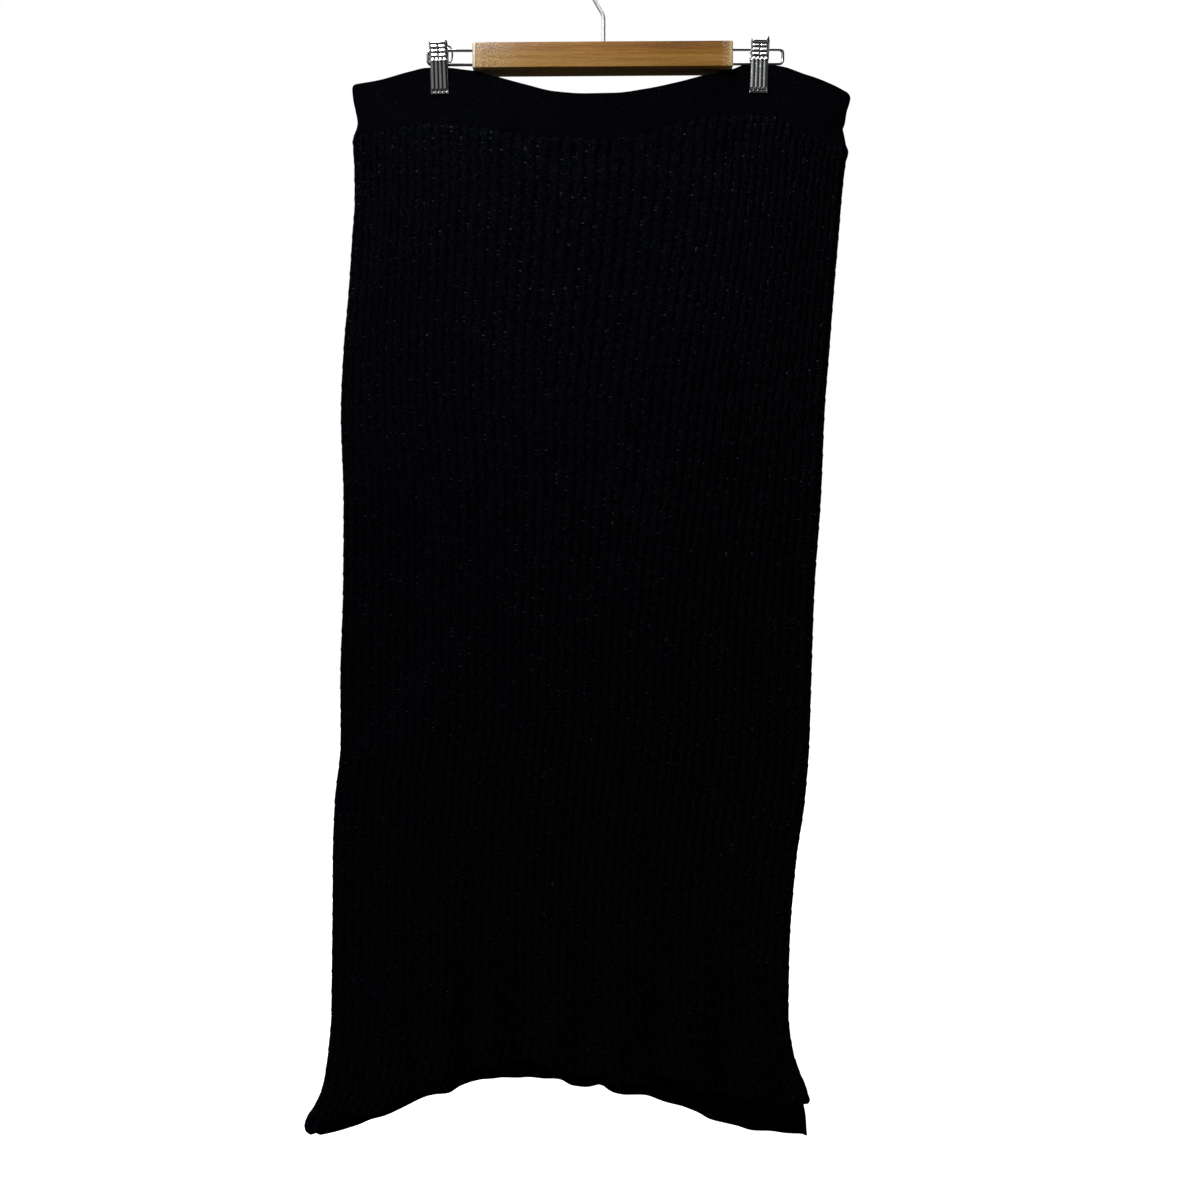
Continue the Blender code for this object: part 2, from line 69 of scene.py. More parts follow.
def quads(rows, columns, start=0, wrap=False):
    """Corner numbers of the quads between neighbouring rows and columns of a grid of points."""
    down, across = np.meshgrid(np.arange(rows - 1), np.arange(columns if wrap else columns - 1),
                               indexing="ij")
    beside = (across + 1) % columns
    corners = [down * columns + across, down * columns + beside,
               (down + 1) * columns + beside, (down + 1) * columns + across]
    return start + np.stack(corners, axis=-1).reshape(-1, 4)


def make_piece(name, points, face_groups, smooth_angle=None):
    """A piece from an array of points in millimetres and arrays of faces, one for each corner count."""
    mesh = bpy.data.meshes.new(name)
    places = np.asarray(points, dtype=np.float64).reshape(-1, 3) * MM
    mesh.vertices.add(len(places))
    mesh.vertices.foreach_set("co", places.ravel())
    corners = np.concatenate([group.ravel() for group in face_groups]).astype(np.int32)
    sizes = np.concatenate([np.full(len(group), group.shape[1]) for group in face_groups])
    starts = np.concatenate([[0], np.cumsum(sizes)[:-1]]).astype(np.int32)
    mesh.loops.add(len(corners))
    mesh.loops.foreach_set("vertex_index", corners)
    mesh.polygons.add(len(sizes))
    mesh.polygons.foreach_set("loop_start", starts)
    mesh.polygons.foreach_set("use_smooth", np.ones(len(sizes), dtype=bool))
    mesh.update(calc_edges=True)
    mesh.validate()
    if smooth_angle is not None:
        mesh.set_sharp_from_angle(angle=math.radians(smooth_angle))
    piece = bpy.data.objects.new(name, mesh)
    bpy.context.scene.collection.objects.link(piece)
    return piece


def make_tube(name, grid, smooth_angle=None):
    """A piece from rows of points, joined into a tube and closed by a flat cap at each end."""
    rows, sides = grid.shape[:2]
    caps = [np.arange(sides)[None, :], (rows - 1) * sides + np.arange(sides)[None, ::-1]]
    return make_piece(name, grid, [quads(rows, sides, wrap=True)[:, ::-1], *caps], smooth_angle)


class Signal:
    """One number in a shader's tree, such as a mask or a height: arithmetic on it adds Math nodes."""

    def __init__(self, tree, socket):
        self.tree = tree
        self.socket = socket

    def step(self, operation, *values):
        """One Math node on this number and the others."""
        node = add_node(self.tree, "Math", dict(enumerate((self, *values))), operation=operation)
        return Signal(self.tree, node.outputs[0])

    __add__ = partialmethod(step, "ADD")
    __sub__ = partialmethod(step, "SUBTRACT")
    __mul__ = partialmethod(step, "MULTIPLY")
    __truediv__ = partialmethod(step, "DIVIDE")
    __pow__ = partialmethod(step, "POWER")
    __abs__ = partialmethod(step, "ABSOLUTE")

    def __rsub__(self, other):
        return self * -1 + other

    def eased(self, low, high, start=0, stop=1):
        """Runs from start to stop as this number goes from low to high, with soft ends."""
        ends = {"Value": self, "From Min": low, "From Max": high, "To Min": start, "To Max": stop}
        node = add_node(self.tree, "MapRange", ends, interpolation_type="SMOOTHSTEP")
        return Signal(self.tree, node.outputs["Result"])

    def where(self, yes, no):
        """One number where this mask is 1 and the other where it is 0."""
        node = add_node(self.tree, "Mix", {"Factor": self, "A": no, "B": yes})
        return Signal(self.tree, node.outputs["Result"])


def feed(tree, node, inputs):
    """Sets a node's sockets, by name or number, or links a Signal or another socket to them."""
    for place, value in inputs.items():
        value = value.socket if isinstance(value, Signal) else value
        if isinstance(value, bpy.types.NodeSocket):
            tree.links.new(value, node.inputs[place])
        else:
            node.inputs[place].default_value = value


def add_node(tree, kind, inputs=None, **settings):
    """A new shader node with its settings and its sockets' values."""
    node = tree.nodes.new("ShaderNode" + kind)
    for name, value in settings.items():
        setattr(node, name, value)
    feed(tree, node, inputs or {})
    return node


def noise(tree, place, scale, detail=3, roughness=0.5):
    """Soft noise from 0 to 1, at its own scale along each axis of a place."""
    stretch = add_node(tree, "Mapping", {"Vector": place, "Scale": scale})
    inputs = {"Vector": stretch.outputs["Vector"], "Scale": 1, "Detail": detail, "Roughness": roughness}
    return Signal(tree, add_node(tree, "TexNoise", inputs).outputs["Fac"])


def object_place(tree):
    """The place on the object, in metres."""
    return add_node(tree, "TexCoord").outputs["Object"]


def three_parts(tree, vector):
    """The three numbers of a vector."""
    parts = add_node(tree, "SeparateXYZ", {"Vector": vector})
    return [Signal(tree, parts.outputs[axis]) for axis in "XYZ"]


def colour_ramp(tree, value, stops):
    """A colour that runs through stops of place and colour."""
    node = add_node(tree, "ValToRGB", {"Fac": value})
    bands = node.color_ramp.elements
    while len(bands) < len(stops):
        bands.new(0.5)
    for band, (place, colour) in zip(bands, stops):
        band.position = place
        band.color = (*colour, 1)
    return node.outputs["Color"]


def mix_colours(tree, mask, under, over):
    """One colour over another where a mask is 1; each is a socket or three numbers."""
    under, over = ((*colour, 1) if isinstance(colour, tuple) else colour for colour in (under, over))
    node = add_node(tree, "Mix", {"Factor": mask, "A": under, "B": over}, data_type="RGBA")
    return node.outputs["Result"]


def bump(tree, height, distance):
    """A normal from a height of 0 to 1 that stands for a distance in metres."""
    return add_node(tree, "Bump", {"Distance": distance, "Height": height}).outputs["Normal"]


def new_finish(name):
    """A material with its tree and its Principled shader."""
    material = bpy.data.materials.new(name)
    material.use_nodes = True
    tree = material.node_tree
    return material, tree, tree.nodes["Principled BSDF"]


def eased_bar(length, depth, height, edge, end):
    """Rounded rectangle carried along X: each corner is a quarter circle of radius edge, and
    at each end the section shrinks along another quarter circle of radius end."""
    quarter = np.linspace(0, math.pi / 2, 7)
    turn = np.concatenate([quarter + k * math.pi / 2 for k in range(4)])
    side = np.repeat([[1, 1], [-1, 1], [-1, -1], [1, -1]], quarter.size, axis=0)
    back = side[:, 0] * (depth / 2 - edge) + edge * np.cos(turn)
    up = side[:, 1] * (height / 2 - edge) + edge * np.sin(turn)
    reach = length / 2 - end + end * np.sin(quarter)
    inset = end * (1 - np.cos(quarter))
    along = np.concatenate([-reach[::-1], reach])[:, None] + 0 * turn
    shrink = np.concatenate([inset[::-1], inset])[:, None]
    back = back * (1 - shrink * 2 / depth)
    return np.stack([along, back, up * (1 - shrink * 2 / height)], axis=-1)


def varnished_wood():
    """Amber grain along the bar and short dark pores, with painted light that pales it towards its
    bottom edge and pale highlights painted near its ends, under a clear coat whose orange-peel
    ripple breaks the highlights into specks."""
    material, tree, shader = new_finish("varnished_wood")
    place = object_place(tree)
    across, _, up = three_parts(tree, place)
    grain = noise(tree, place, GRAIN_SCALE, 5, 0.62)
    drift = noise(tree, place, WOOD_DRIFT_SCALE, 2)
    pores = noise(tree, place, PORE_SCALE, 2).eased(0.62, 0.70) * 0.5
    along = across - BAR_SHIFT * MM
    on_left = along.step("LESS_THAN", 0)
    from_end = BAR_LENGTH / 2 * MM - abs(along)
    # Painted light: the colour pales towards the bar's bottom edge, standing for light from below
    painted_light_low = (up * -1).eased(BAR_DROP * MM, (BAR_DROP + BAR_HEIGHT) * MM)
    tone = grain * 0.60 + drift * 0.36 + painted_light_low * 0.20 - 0.01
    base = colour_ramp(tree, tone, [(0.36, WOOD_DARK), (0.52, WOOD_MID), (0.68, WOOD_LIGHT)])
    pored = mix_colours(tree, pores, base, WOOD_PORE)
    # Painted highlights near the ends: a pale rim, a patch and a speckle mixed into the colour
    glint_noise = noise(tree, place, GLINT_NOISE_SCALE, 3, 0.7).eased(0.50, 0.56)
    left_rim = from_end.eased(*LEFT_RIM, 0.3, 1) * from_end.eased(*LEFT_RIM_STOP, 1, 0) * on_left
    rim = left_rim + from_end.eased(*RIGHT_RIM, 0.95, 0) * (glint_noise * 0.5 + 0.5) * (1 - on_left)
    gap = from_end.eased(*GAP_START) * from_end.eased(*GAP_STOP, 1, 0) * on_left
    patch = from_end.eased(*PATCH, 1, 0) * (glint_noise * 0.45 + on_left * 0.12) * (1 - gap)
    speckle = from_end.eased(*SPECKLE, 1, 0) * glint_noise * on_left * 0.45
    painted_glints = patch.step("MAXIMUM", rim).step("MAXIMUM", speckle)
    ripple = noise(tree, place, RIPPLE_SCALE, 3, 0.6)
    feed(tree, shader, {
        "Base Color": mix_colours(tree, painted_glints, pored, PAINTED_GLINT),
        "Normal": bump(tree, ripple + grain * 0.3, GRAIN_DEPTH),
        "Coat Normal": bump(tree, ripple, RIPPLE_DEPTH),
        "Roughness": grain * 0.15 + 0.36,
        "Specular IOR Level": 0.25,
        "Coat Weight": 0.7,
        "Coat Roughness": 0.12,
        "Coat IOR": 1.5,
    })
    return material


bar_grid = eased_bar(BAR_LENGTH, BAR_DEPTH, BAR_HEIGHT, BAR_EDGE, BAR_END)
bar_grid[..., 2] += BAR_SLOPE * bar_grid[..., 0]
bar_grid = bar_grid + np.array([BAR_SHIFT, 0, -(BAR_DROP + BAR_HEIGHT / 2)])
wood_bar = make_tube("wood_bar", bar_grid, smooth_angle=40)
wood_bar.data.materials.append(varnished_wood())
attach(wood_bar, "root")
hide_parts("hanger_bar")

# The hook and the wire rails
# Round steel wire, bent cold and chromed. The hook turns in the bar's middle hole, and each
# rail is a U whose two ends slide in the holes at an end of the bar.
HOOK_WIRE, HOOK_RADIUS, HOOK_SOCKET_DEPTH = 3.8, 21, 14
HOOK_LEAN, HOOK_TIP_ANGLE = math.radians(30), math.radians(-18)
HOOK_BEND_RADIUS = 15
RAIL_WIRE, RAIL_SPACING, RAIL_CORNER, RAIL_SOCKET_DEPTH = 3, 14.3, 4, 16
SOCKET_PLAY = 0.3
RAILS = (
    # name, side of the bar, reach from the hanger's middle, drop of its upper wire
    ("rail_left", -1, 175.5, 96),
    ("rail_right", 1, 179.3, 95),
)
CHROME = (0.80, 0.81, 0.83)
# A paler, part-diffuse copy of the chrome for the hook: painted light for its bright reflections
LIT_HOOK_CHROME = (0.92, 0.92, 0.92)
SMEAR_SCALE, PIT_SCALE, PIT_DEPTH = (160, 160, 160), (900, 900, 900), 0.00002
# Painted shade on the left clip's plating, in metres: where it fades across and up
LEFT_SHADE_ACROSS, LEFT_SHADE_UP = (-0.150, -0.120), (-0.1085, -0.1065)


def arc(middle, radius, start, stop, steps):
    """Points in X and Z round an arc, from one angle to another."""
    angle = np.linspace(start, stop, steps + 1)
    return np.stack([middle[0] + radius * np.cos(angle), middle[1] + radius * np.sin(angle)], axis=-1)


def hook_path():
    """Straight stem, short bend, straight lean and round crown, as the hook is bent."""
    crown = (0, HOOK_WIRE / 2 - HOOK_RADIUS)
    lean_start = math.pi + HOOK_LEAN
    foot_across = crown[0] + HOOK_RADIUS * math.cos(lean_start)
    foot_up = crown[1] + HOOK_RADIUS * math.sin(lean_start)
    bend_start = foot_up + foot_across / math.tan(HOOK_LEAN) - HOOK_BEND_RADIUS * math.tan(HOOK_LEAN / 2)
    stem = np.array([[0, -(BAR_DROP + HOOK_SOCKET_DEPTH - SOCKET_PLAY)], [0, -BAR_DROP]])
    bend = arc((-HOOK_BEND_RADIUS, bend_start), HOOK_BEND_RADIUS, 0, HOOK_LEAN, 10)
    top = arc(crown, HOOK_RADIUS, lean_start, HOOK_TIP_ANGLE, 64)
    return np.concatenate([stem, bend, top])


def rail_path(side, reach, drop):
    """A U of wire: out of the bar, round two corners and back into the bar."""
    inside = BAR_LENGTH / 2 - RAIL_SOCKET_DEPTH + SOCKET_PLAY
    turn = reach - RAIL_CORNER
    upper = arc((turn, -drop - RAIL_CORNER), RAIL_CORNER, math.pi / 2, 0, 10)
    lower = arc((turn, -drop - RAIL_SPACING + RAIL_CORNER), RAIL_CORNER, 0, -math.pi / 2, 10)
    path = np.concatenate([[[inside, -drop]], upper, lower, [[inside, -drop - RAIL_SPACING]]])
    return path * np.array([side, 1])


def round_wire(path, diameter, sides=20, dome=5):
    """A circle carried along a path in X and Z, square to it, with a half-round dome on each end."""
    ahead = np.gradient(path, axis=0)
    ahead = ahead / np.linalg.norm(ahead, axis=1, keepdims=True)
    radius = diameter / 2
    quarter = np.linspace(0, math.pi / 2, dome)
    first = path[0] - ahead[0] * radius * np.cos(quarter)[:, None]
    last = path[-1] + ahead[-1] * radius * np.sin(quarter)[:, None]
    swell = np.maximum(np.cos(quarter), 0.02)
    centres = np.concatenate([first[:-1], path, last[1:]])
    radii = np.concatenate([swell[::-1][:-1], np.ones(len(path)), swell[1:]]) * radius
    heading = np.concatenate([np.repeat(ahead[:1], dome - 1, axis=0), ahead,
                              np.repeat(ahead[-1:], dome - 1, axis=0)])
    turn = np.linspace(0, 2 * math.pi, sides, endpoint=False)
    square = np.stack([-heading[:, 1], heading[:, 0]], axis=-1)
    across = centres[:, :1] + radii[:, None] * square[:, :1] * np.cos(turn)
    up = centres[:, 1:] + radii[:, None] * square[:, 1:] * np.cos(turn)
    back = radii[:, None] * np.sin(turn) + 0 * across
    return np.stack([across, back, up], axis=-1)


def chrome_plate(name, bright, grime, metal=1, least_rough=0.06):
    """Plating with faint smears that dull and darken it in patches, and painted shade that darkens the
    left clip from just above its wire down."""
    material, tree, shader = new_finish(name)
    place = object_place(tree)
    across, _, up = three_parts(tree, place)
    smear = noise(tree, place, SMEAR_SCALE, 4, 0.6)
    # Painted shade: the left clip's plating is darkened from just above its wire down
    painted_shade = across.eased(*LEFT_SHADE_ACROSS, 1, 0) * up.eased(*LEFT_SHADE_UP, 1, 0)
    dull, shaded_tone = (tuple(share * part for part in bright) for share in (0.84, 0.45))
    clean = colour_ramp(tree, smear, [(0.3, dull), (0.7, bright)])
    feed(tree, shader, {
        "Base Color": mix_colours(tree, painted_shade, clean, shaded_tone),
        "Roughness": smear * grime + least_rough,
        "Normal": bump(tree, noise(tree, place, PIT_SCALE, 2), PIT_DEPTH),
        "Metallic": metal,
    })
    return material


plating = chrome_plate("chrome", CHROME, 0.10)
# The hook's plating is a lighter copy of the chrome, painted light for its bright reflections
lit_hook_plating = chrome_plate("lit_hook_chrome", LIT_HOOK_CHROME, 0.20, metal=0.55, least_rough=0.25)
wires = [("hook", "hanger_hook", hook_path(), HOOK_WIRE, lit_hook_plating)]
for rail_name, *rail in RAILS:
    wires.append((rail_name + "_wire", rail_name, rail_path(*rail), RAIL_WIRE, plating))
for wire_name, node_name, path, diameter, finish in wires:
    wire_piece = make_tube(wire_name, round_wire(path, diameter), smooth_angle=50)
    wire_piece.data.materials.append(finish)
    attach(wire_piece, "root")
    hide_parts(node_name)

# The clips
# Each clip is two jaws stamped from chromed sheet: ribbed thumb pads at the top, four flutes
# down to the foot, a row of small holes and a turned-out lip. A coil spring between them,
# on a pin, closes the jaws on the waistband.
CLIPS = (
    # name, middle from the hanger's middle, drop of its top, more of its cap above that, drop of
    # its wire, tilt in degrees
    ("clip_left", -165, 87.2, -1.4, 110.3, -2.1),
    ("clip_right", 156.4, 85.8, 1.5, 109.3, 1.8),
)
CLIP_HEIGHT, CLIP_WIDTH, CLIP_FOOT_WIDTH = 54, 17, 17.8
CLIP_SHEET, FLUTES, FLUTE_HEIGHT = 0.9, 4, 0.95
JAW_PROFILE = (
    # measured from, drop from there, gap from the middle plane
    ("top", 0, 5.1),
    ("top", 2, 5),
    ("wire", -8, 3.3),
    ("wire", 0, 2.8),
    ("foot", 0, 2.8),
)
CAP_EDGE, CAP_FOOT, CAP_SLOPE = 0.2, 4.6, 0.38
PAD_FIRST, PAD_STEP, PAD_COUNT, PAD_LENGTH, PAD_HEIGHT = 5.8, 4.15, 3, 2.5, 1
FLUTE_START, FLUTE_STOP, FLUTE_SPAN = 18.3, 49.8, 0.92
FLUTE_HEAD, FLUTE_FOOT, FLUTE_TIP, FLUTE_FULL = 2.4, 0.8, 0.45, 0.94
PAD_MIDDLE, PAD_HALF, CAP_HALF = 0.45, 0.37, 0.93
LIP_LENGTH, LIP_OUT, LIP_CORNER_OUT, LIP_SCALLOP = 2.4, 0.05, 0.06, 0.25
FLANGE_START, FLANGE_TURN, FLANGE_ROUND = 0.90, 1.9, 1.6
TURNED_FROM_TOP, TURNED_ABOVE_WIRE = (0.5, 3), (7, 6)
PAD_ROWS, FLUTE_ROWS, FOOT_ROWS = (22, 97), (23.5, 46.5, 10), (47, 27)
HOLE_DROP, HOLE_SIZE = 50.9, 2.2
SPRING_TURNS, SPRING_WIDTH, SPRING_DIAMETER, SPRING_WIRE, SPRING_ABOVE_WIRE = 8, 9, 5, 0.85, 7
PIN_LENGTH, PIN_DIAMETER = 15.6, 1.6
CURL_CLIP, CURL_MIDDLE = "clip_left", (-158, -100.2)
CURL_REACH, CURL_HALF, CURL_WIRE = 6.8, 9, 1.7
STEEL = (0.22, 0.22, 0.23)


def ease(share):
    """Turns 0..1 into a soft start and stop."""
    share = np.clip(share, 0, 1)
    return share * share * (3 - 2 * share)


def louvre(drop, top, length, height):
    """A straight slope outwards from its top, rounded off at its lower edge."""
    share = np.clip((drop - top) / length, 0, 1)
    return height * share ** 0.85 * np.sqrt(1 - share ** 16)


def jaw_grid(face, more_cap, wire_drop):
    """Jaw as height over a grid: gap from its profile, plus half-round flutes that slope up at
    their heads, two columns of sloped thumb pads under a sloped cap, and a lip that turns out at
    the foot. Its edges turn in where there is no cloth."""
    starts = {"top": 0, "wire": wire_drop, "foot": CLIP_HEIGHT}
    profile = np.array([(starts[mark] + drop, gap) for mark, drop, gap in JAW_PROFILE])
    foot_start, foot_rows = FOOT_ROWS
    drop = np.concatenate([np.linspace(-more_cap, *PAD_ROWS), np.linspace(*FLUTE_ROWS),
                           np.linspace(foot_start, CLIP_HEIGHT, foot_rows)])[:, None]
    flange = np.linspace(FLUTE_SPAN, 1, 5)
    fluted = np.linspace(-FLUTE_SPAN, FLUTE_SPAN, 16 * FLUTES + 1)
    side = np.concatenate([-flange[:0:-1], fluted, flange[1:]])
    gap = np.interp(drop, profile[:, 0], profile[:, 1]) + 0 * side
    along = np.clip((side / FLUTE_SPAN + 1) / 2, 0, 1) * FLUTES
    from_crest = 2 * (along % 1) - 1
    head = np.clip((drop - FLUTE_START) / FLUTE_HEAD, 0, 1)
    foot = np.clip((drop - FLUTE_STOP) / FLUTE_FOOT + 1, 0, 1)
    width = FLUTE_TIP + (FLUTE_FULL - FLUTE_TIP) * head ** 2
    dome = np.clip(1 - (from_crest / width) ** 2 - foot ** 2, 0, 1)
    rise = FLUTE_HEIGHT * head * np.sqrt(dome) * (np.abs(side) < FLUTE_SPAN)
    pad_across = np.clip(1 - (np.abs(np.abs(side) - PAD_MIDDLE) / PAD_HALF) ** 6, 0, 1)
    for k in range(PAD_COUNT):
        rise = rise + louvre(drop, PAD_FIRST + k * PAD_STEP, PAD_LENGTH, PAD_HEIGHT) * pad_across
    cap_length = CAP_FOOT - CAP_EDGE + more_cap
    cap = louvre(drop, CAP_EDGE - more_cap, cap_length, CAP_SLOPE * cap_length)
    rise = rise + cap * np.clip(1 - (side / CAP_HALF) ** 10, 0, 1)
    near_foot = ease((drop - CLIP_HEIGHT + LIP_LENGTH) / LIP_LENGTH)
    on_flange = (np.abs(side) - FLANGE_START) / (1 - FLANGE_START)
    lip = (LIP_OUT + LIP_CORNER_OUT * ease(on_flange)) * near_foot
    hem_turn = FLANGE_TURN * np.clip(on_flange, 0, 1) ** FLANGE_ROUND
    past_top = ease((drop - TURNED_FROM_TOP[0]) / TURNED_FROM_TOP[1])
    near_wire = ease((drop - wire_drop + TURNED_ABOVE_WIRE[0]) / TURNED_ABOVE_WIRE[1])
    turned_in = hem_turn * (1 - near_wire) * past_top
    widening = np.abs(drop / CLIP_HEIGHT) ** 3
    half_width = (CLIP_WIDTH + (CLIP_FOOT_WIDTH - CLIP_WIDTH) * widening) / 2
    scallop = LIP_SCALLOP * np.abs(np.cos(from_crest * math.pi / 2)) * near_foot
    outwards = gap + rise + lip - turned_in
    return np.stack([half_width * side, -face * outwards, -(drop - scallop) + 0 * side], axis=-1)


def stamped_jaw(name, face, middle, drop, more_cap, wire_drop, tilt):
    """The jaw's sheet with its row of round holes left out, tilted about its top and set in place."""
    grid = jaw_grid(face, more_cap, wire_drop - drop)
    faces = quads(*grid.shape[:2])
    centre = grid.reshape(-1, 3)[faces].mean(axis=1)
    crest_pitch = CLIP_FOOT_WIDTH * FLUTE_SPAN / FLUTES
    from_crest = ((centre[:, 0] / crest_pitch) % 1 - 0.5) * crest_pitch
    in_hole = np.hypot(from_crest, -centre[:, 2] - HOLE_DROP) < HOLE_SIZE / 2
    angle = math.radians(tilt)
    across = grid[..., 0] * math.cos(angle) + grid[..., 2] * math.sin(angle)
    up = -grid[..., 0] * math.sin(angle) + grid[..., 2] * math.cos(angle)
    placed = np.stack([across + middle, grid[..., 1], up - drop], axis=-1)
    kept = faces[~in_hole]
    jaw = make_piece(name, placed, [kept if face > 0 else kept[:, ::-1]])
    sheet = jaw.modifiers.new("sheet_metal", "SOLIDIFY")
    sheet.thickness = CLIP_SHEET * MM
    sheet.offset = -1
    sheet.use_even_offset = True
    return jaw


def coil(turns, width, diameter, wire_width, sides=8, steps=14):
    """A circle carried round a helix along X."""
    angle = np.linspace(0, 2 * math.pi * turns, turns * steps + 1)[:, None]
    radius = (diameter - wire_width) / 2
    turn = np.linspace(0, 2 * math.pi, sides, endpoint=False)[None, :]
    out = radius + wire_width / 2 * np.cos(turn)
    along = (angle / angle[-1] - 0.5) * (width - wire_width) + wire_width / 2 * np.sin(turn)
    return np.stack([along, out * np.cos(angle), out * np.sin(angle)], axis=-1)


def pin_rod(length, diameter, sides=16):
    """A straight rod along X with slightly eased ends."""
    along = np.array([-0.5, -0.5, 0.5, 0.5]) * length + np.array([0, 0.2, -0.2, 0])
    radius = diameter / 2 * np.array([0.75, 1, 1, 0.75])
    turn = np.linspace(0, 2 * math.pi, sides, endpoint=False)[None, :]
    return np.stack([along[:, None] + 0 * turn, radius[:, None] * np.cos(turn),
                     radius[:, None] * np.sin(turn)], axis=-1)


def curl_path():
    """The spring's leg past the jaw: half of a squared oval in X and Z, from its top to its foot."""
    turn = np.linspace(math.pi / 2, -math.pi / 2, 33)
    across = CURL_MIDDLE[0] + CURL_REACH * np.cos(turn) ** 0.7
    up = CURL_MIDDLE[1] + CURL_HALF * np.sign(np.sin(turn)) * np.abs(np.sin(turn)) ** 0.8
    return np.stack([across, up], axis=-1)


spring_steel = chrome_plate("spring_steel", STEEL, 0.25)
for clip_name, *clip in CLIPS:
    for jaw_name, jaw_face in (("front", 1), ("back", -1)):
        jaw = stamped_jaw(f"{clip_name}_{jaw_name}_plate", jaw_face, *clip)
        jaw.data.materials.append(plating)
        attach(jaw, "root")
        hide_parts(f"{clip_name}_{jaw_name}_jaw")
    clip_middle, clip_wire = clip[0], clip[3]
    place = np.array([clip_middle, 0, -(clip_wire - SPRING_ABOVE_WIRE)])
    turns = coil(SPRING_TURNS, SPRING_WIDTH, SPRING_DIAMETER, SPRING_WIRE)
    spring = make_tube(clip_name + "_coil", turns + place)
    pin = make_tube(clip_name + "_pin", pin_rod(PIN_LENGTH, PIN_DIAMETER) + place, smooth_angle=40)
    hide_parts(clip_name + "_spring")
    small_pieces = [spring, pin]
    if clip_name == CURL_CLIP:
        curl = round_wire(curl_path(), CURL_WIRE, sides=12)
        small_pieces.append(make_tube(clip_name + "_curl", curl, smooth_angle=60))
    for small in small_pieces:
        small.data.materials.append(spring_steel)
        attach(small, "root")

# The skirt's two panels
# Ribbed knit in a near-black yarn with a thin metallic thread run in. Each rib is two wales
# that cross over each other every few rows, a small cable, with sunken purl stitches
# between. The panels are joined at the sides and hang from the waistband.
WAIST_DROP = 111.5
SEAM_GAP, SIDE_SEAM_GAP = 0.3, 0.01
BODY_WALL = 1.6
RIB_COUNT, RIB_HEIGHT, SIDE_CURL = 54, 1.8, 5.5
CABLE_LENGTH, COURSE_LENGTH = 18, 1.5
CROSS_START, CROSS_STOP, WALE_OFFSET, WALE_HALF_WIDTH = 0.26, 0.74, 0.165, 0.235
SWELL_START, SWELL_SPAN, OVER_SWELL, UNDER_SINK, WALE_ROUND = 0.2, 0.6, 0.30, 0.35, 0.8
COLUMNS_PER_RIB, FRONT_ROWS, BACK_ROWS, LINING_STEP = 8, 441, 337, (8, 4)
YARN_LENGTH, END_RELIEF, END_FADE = 940, 0.35, 5
HEM_GROOVE, HEM_TURNED, HEM_GROOVE_HALF = 0.6, 6.4, 1.5
RIB_SUNK, SEAM_FADE = 0.1, 0.35
STITCH_SLANT, FIBRE_SCALE, FIBRE_STRETCH = 1.1, (5, 2.2), (1.4, 1.4, 1.4)
FLECK_NARROW, FLECK_EDGE, CELL_ACROSS, CELL_DOWN = 2.5, (0.05, 0.11), (1.37, 0.113), (0.291, 1.71)
FLECK_DIM = (0.003, 0.0035, 0.005)
FLECK_HUES = ((0, (0.022, 0.050, 0.054)), (0.2, (0.055, 0.056, 0.066)), (0.75, (0.080, 0.081, 0.090)),
              (1, (0.060, 0.034, 0.050)))
SIDES = (
    # drop, left edge, front's right edge, back's right edge
    (20, -253.5, 250, 250), (30, -252.5, 249, 249), (42, -250, 245.5, 245.5), (54, -248, 243.5, 243.5),
    (60, -249, 241.5, 241.5), (67, -251.5, 243, 243), (84, -251, 245.5, 245.5), (94, -250, 243, 243),
    (134, -249.5, 238.5, 238.5), (164, -251.5, 236, 236), (224, -255, 230.5, 230.5),
    (284, -259.5, 225.5, 225.5), (344, -261.5, 220.5, 220.5), (434, -258.5, 216.5, 216.5),
    (524, -259.5, 210.5, 210.5), (614, -262.5, 207.5, 207.5), (674, -262.5, 205.5, 205.5),
    (734, -268.5, 200.5, 200.5), (794, -270.5, 191.5, 191.5), (884, -270.5, 184.5, 184.5),
    (944, -270.5, 183.5, 183.5), (974, -272.5, 186.5, 185.5), (994, -274.5, 191.5, 189),
    (1014, -278, 199.5, 193.5), (1037, -288, 206, 199.5), (1049, -295.5, 204.5, 201.5),
    (1059, -297, 204.5, 202), (1067, -295, 204.5, 202.5), (1072, -294, 204.5, 202.5),
)
WAIST_SEAM = (
    # across, drop
    (-249, 67), (-218.5, 66), (-194.5, 59.5), (-165, 59), (-116.5, 64), (-90.5, 70), (-55.5, 74),
    (-3.5, 76), (39.5, 71), (74.5, 57), (100.5, 53.5), (143.5, 49.5), (169.5, 51), (183.5, 62),
    (213.5, 76.5), (239.5, 78),
)
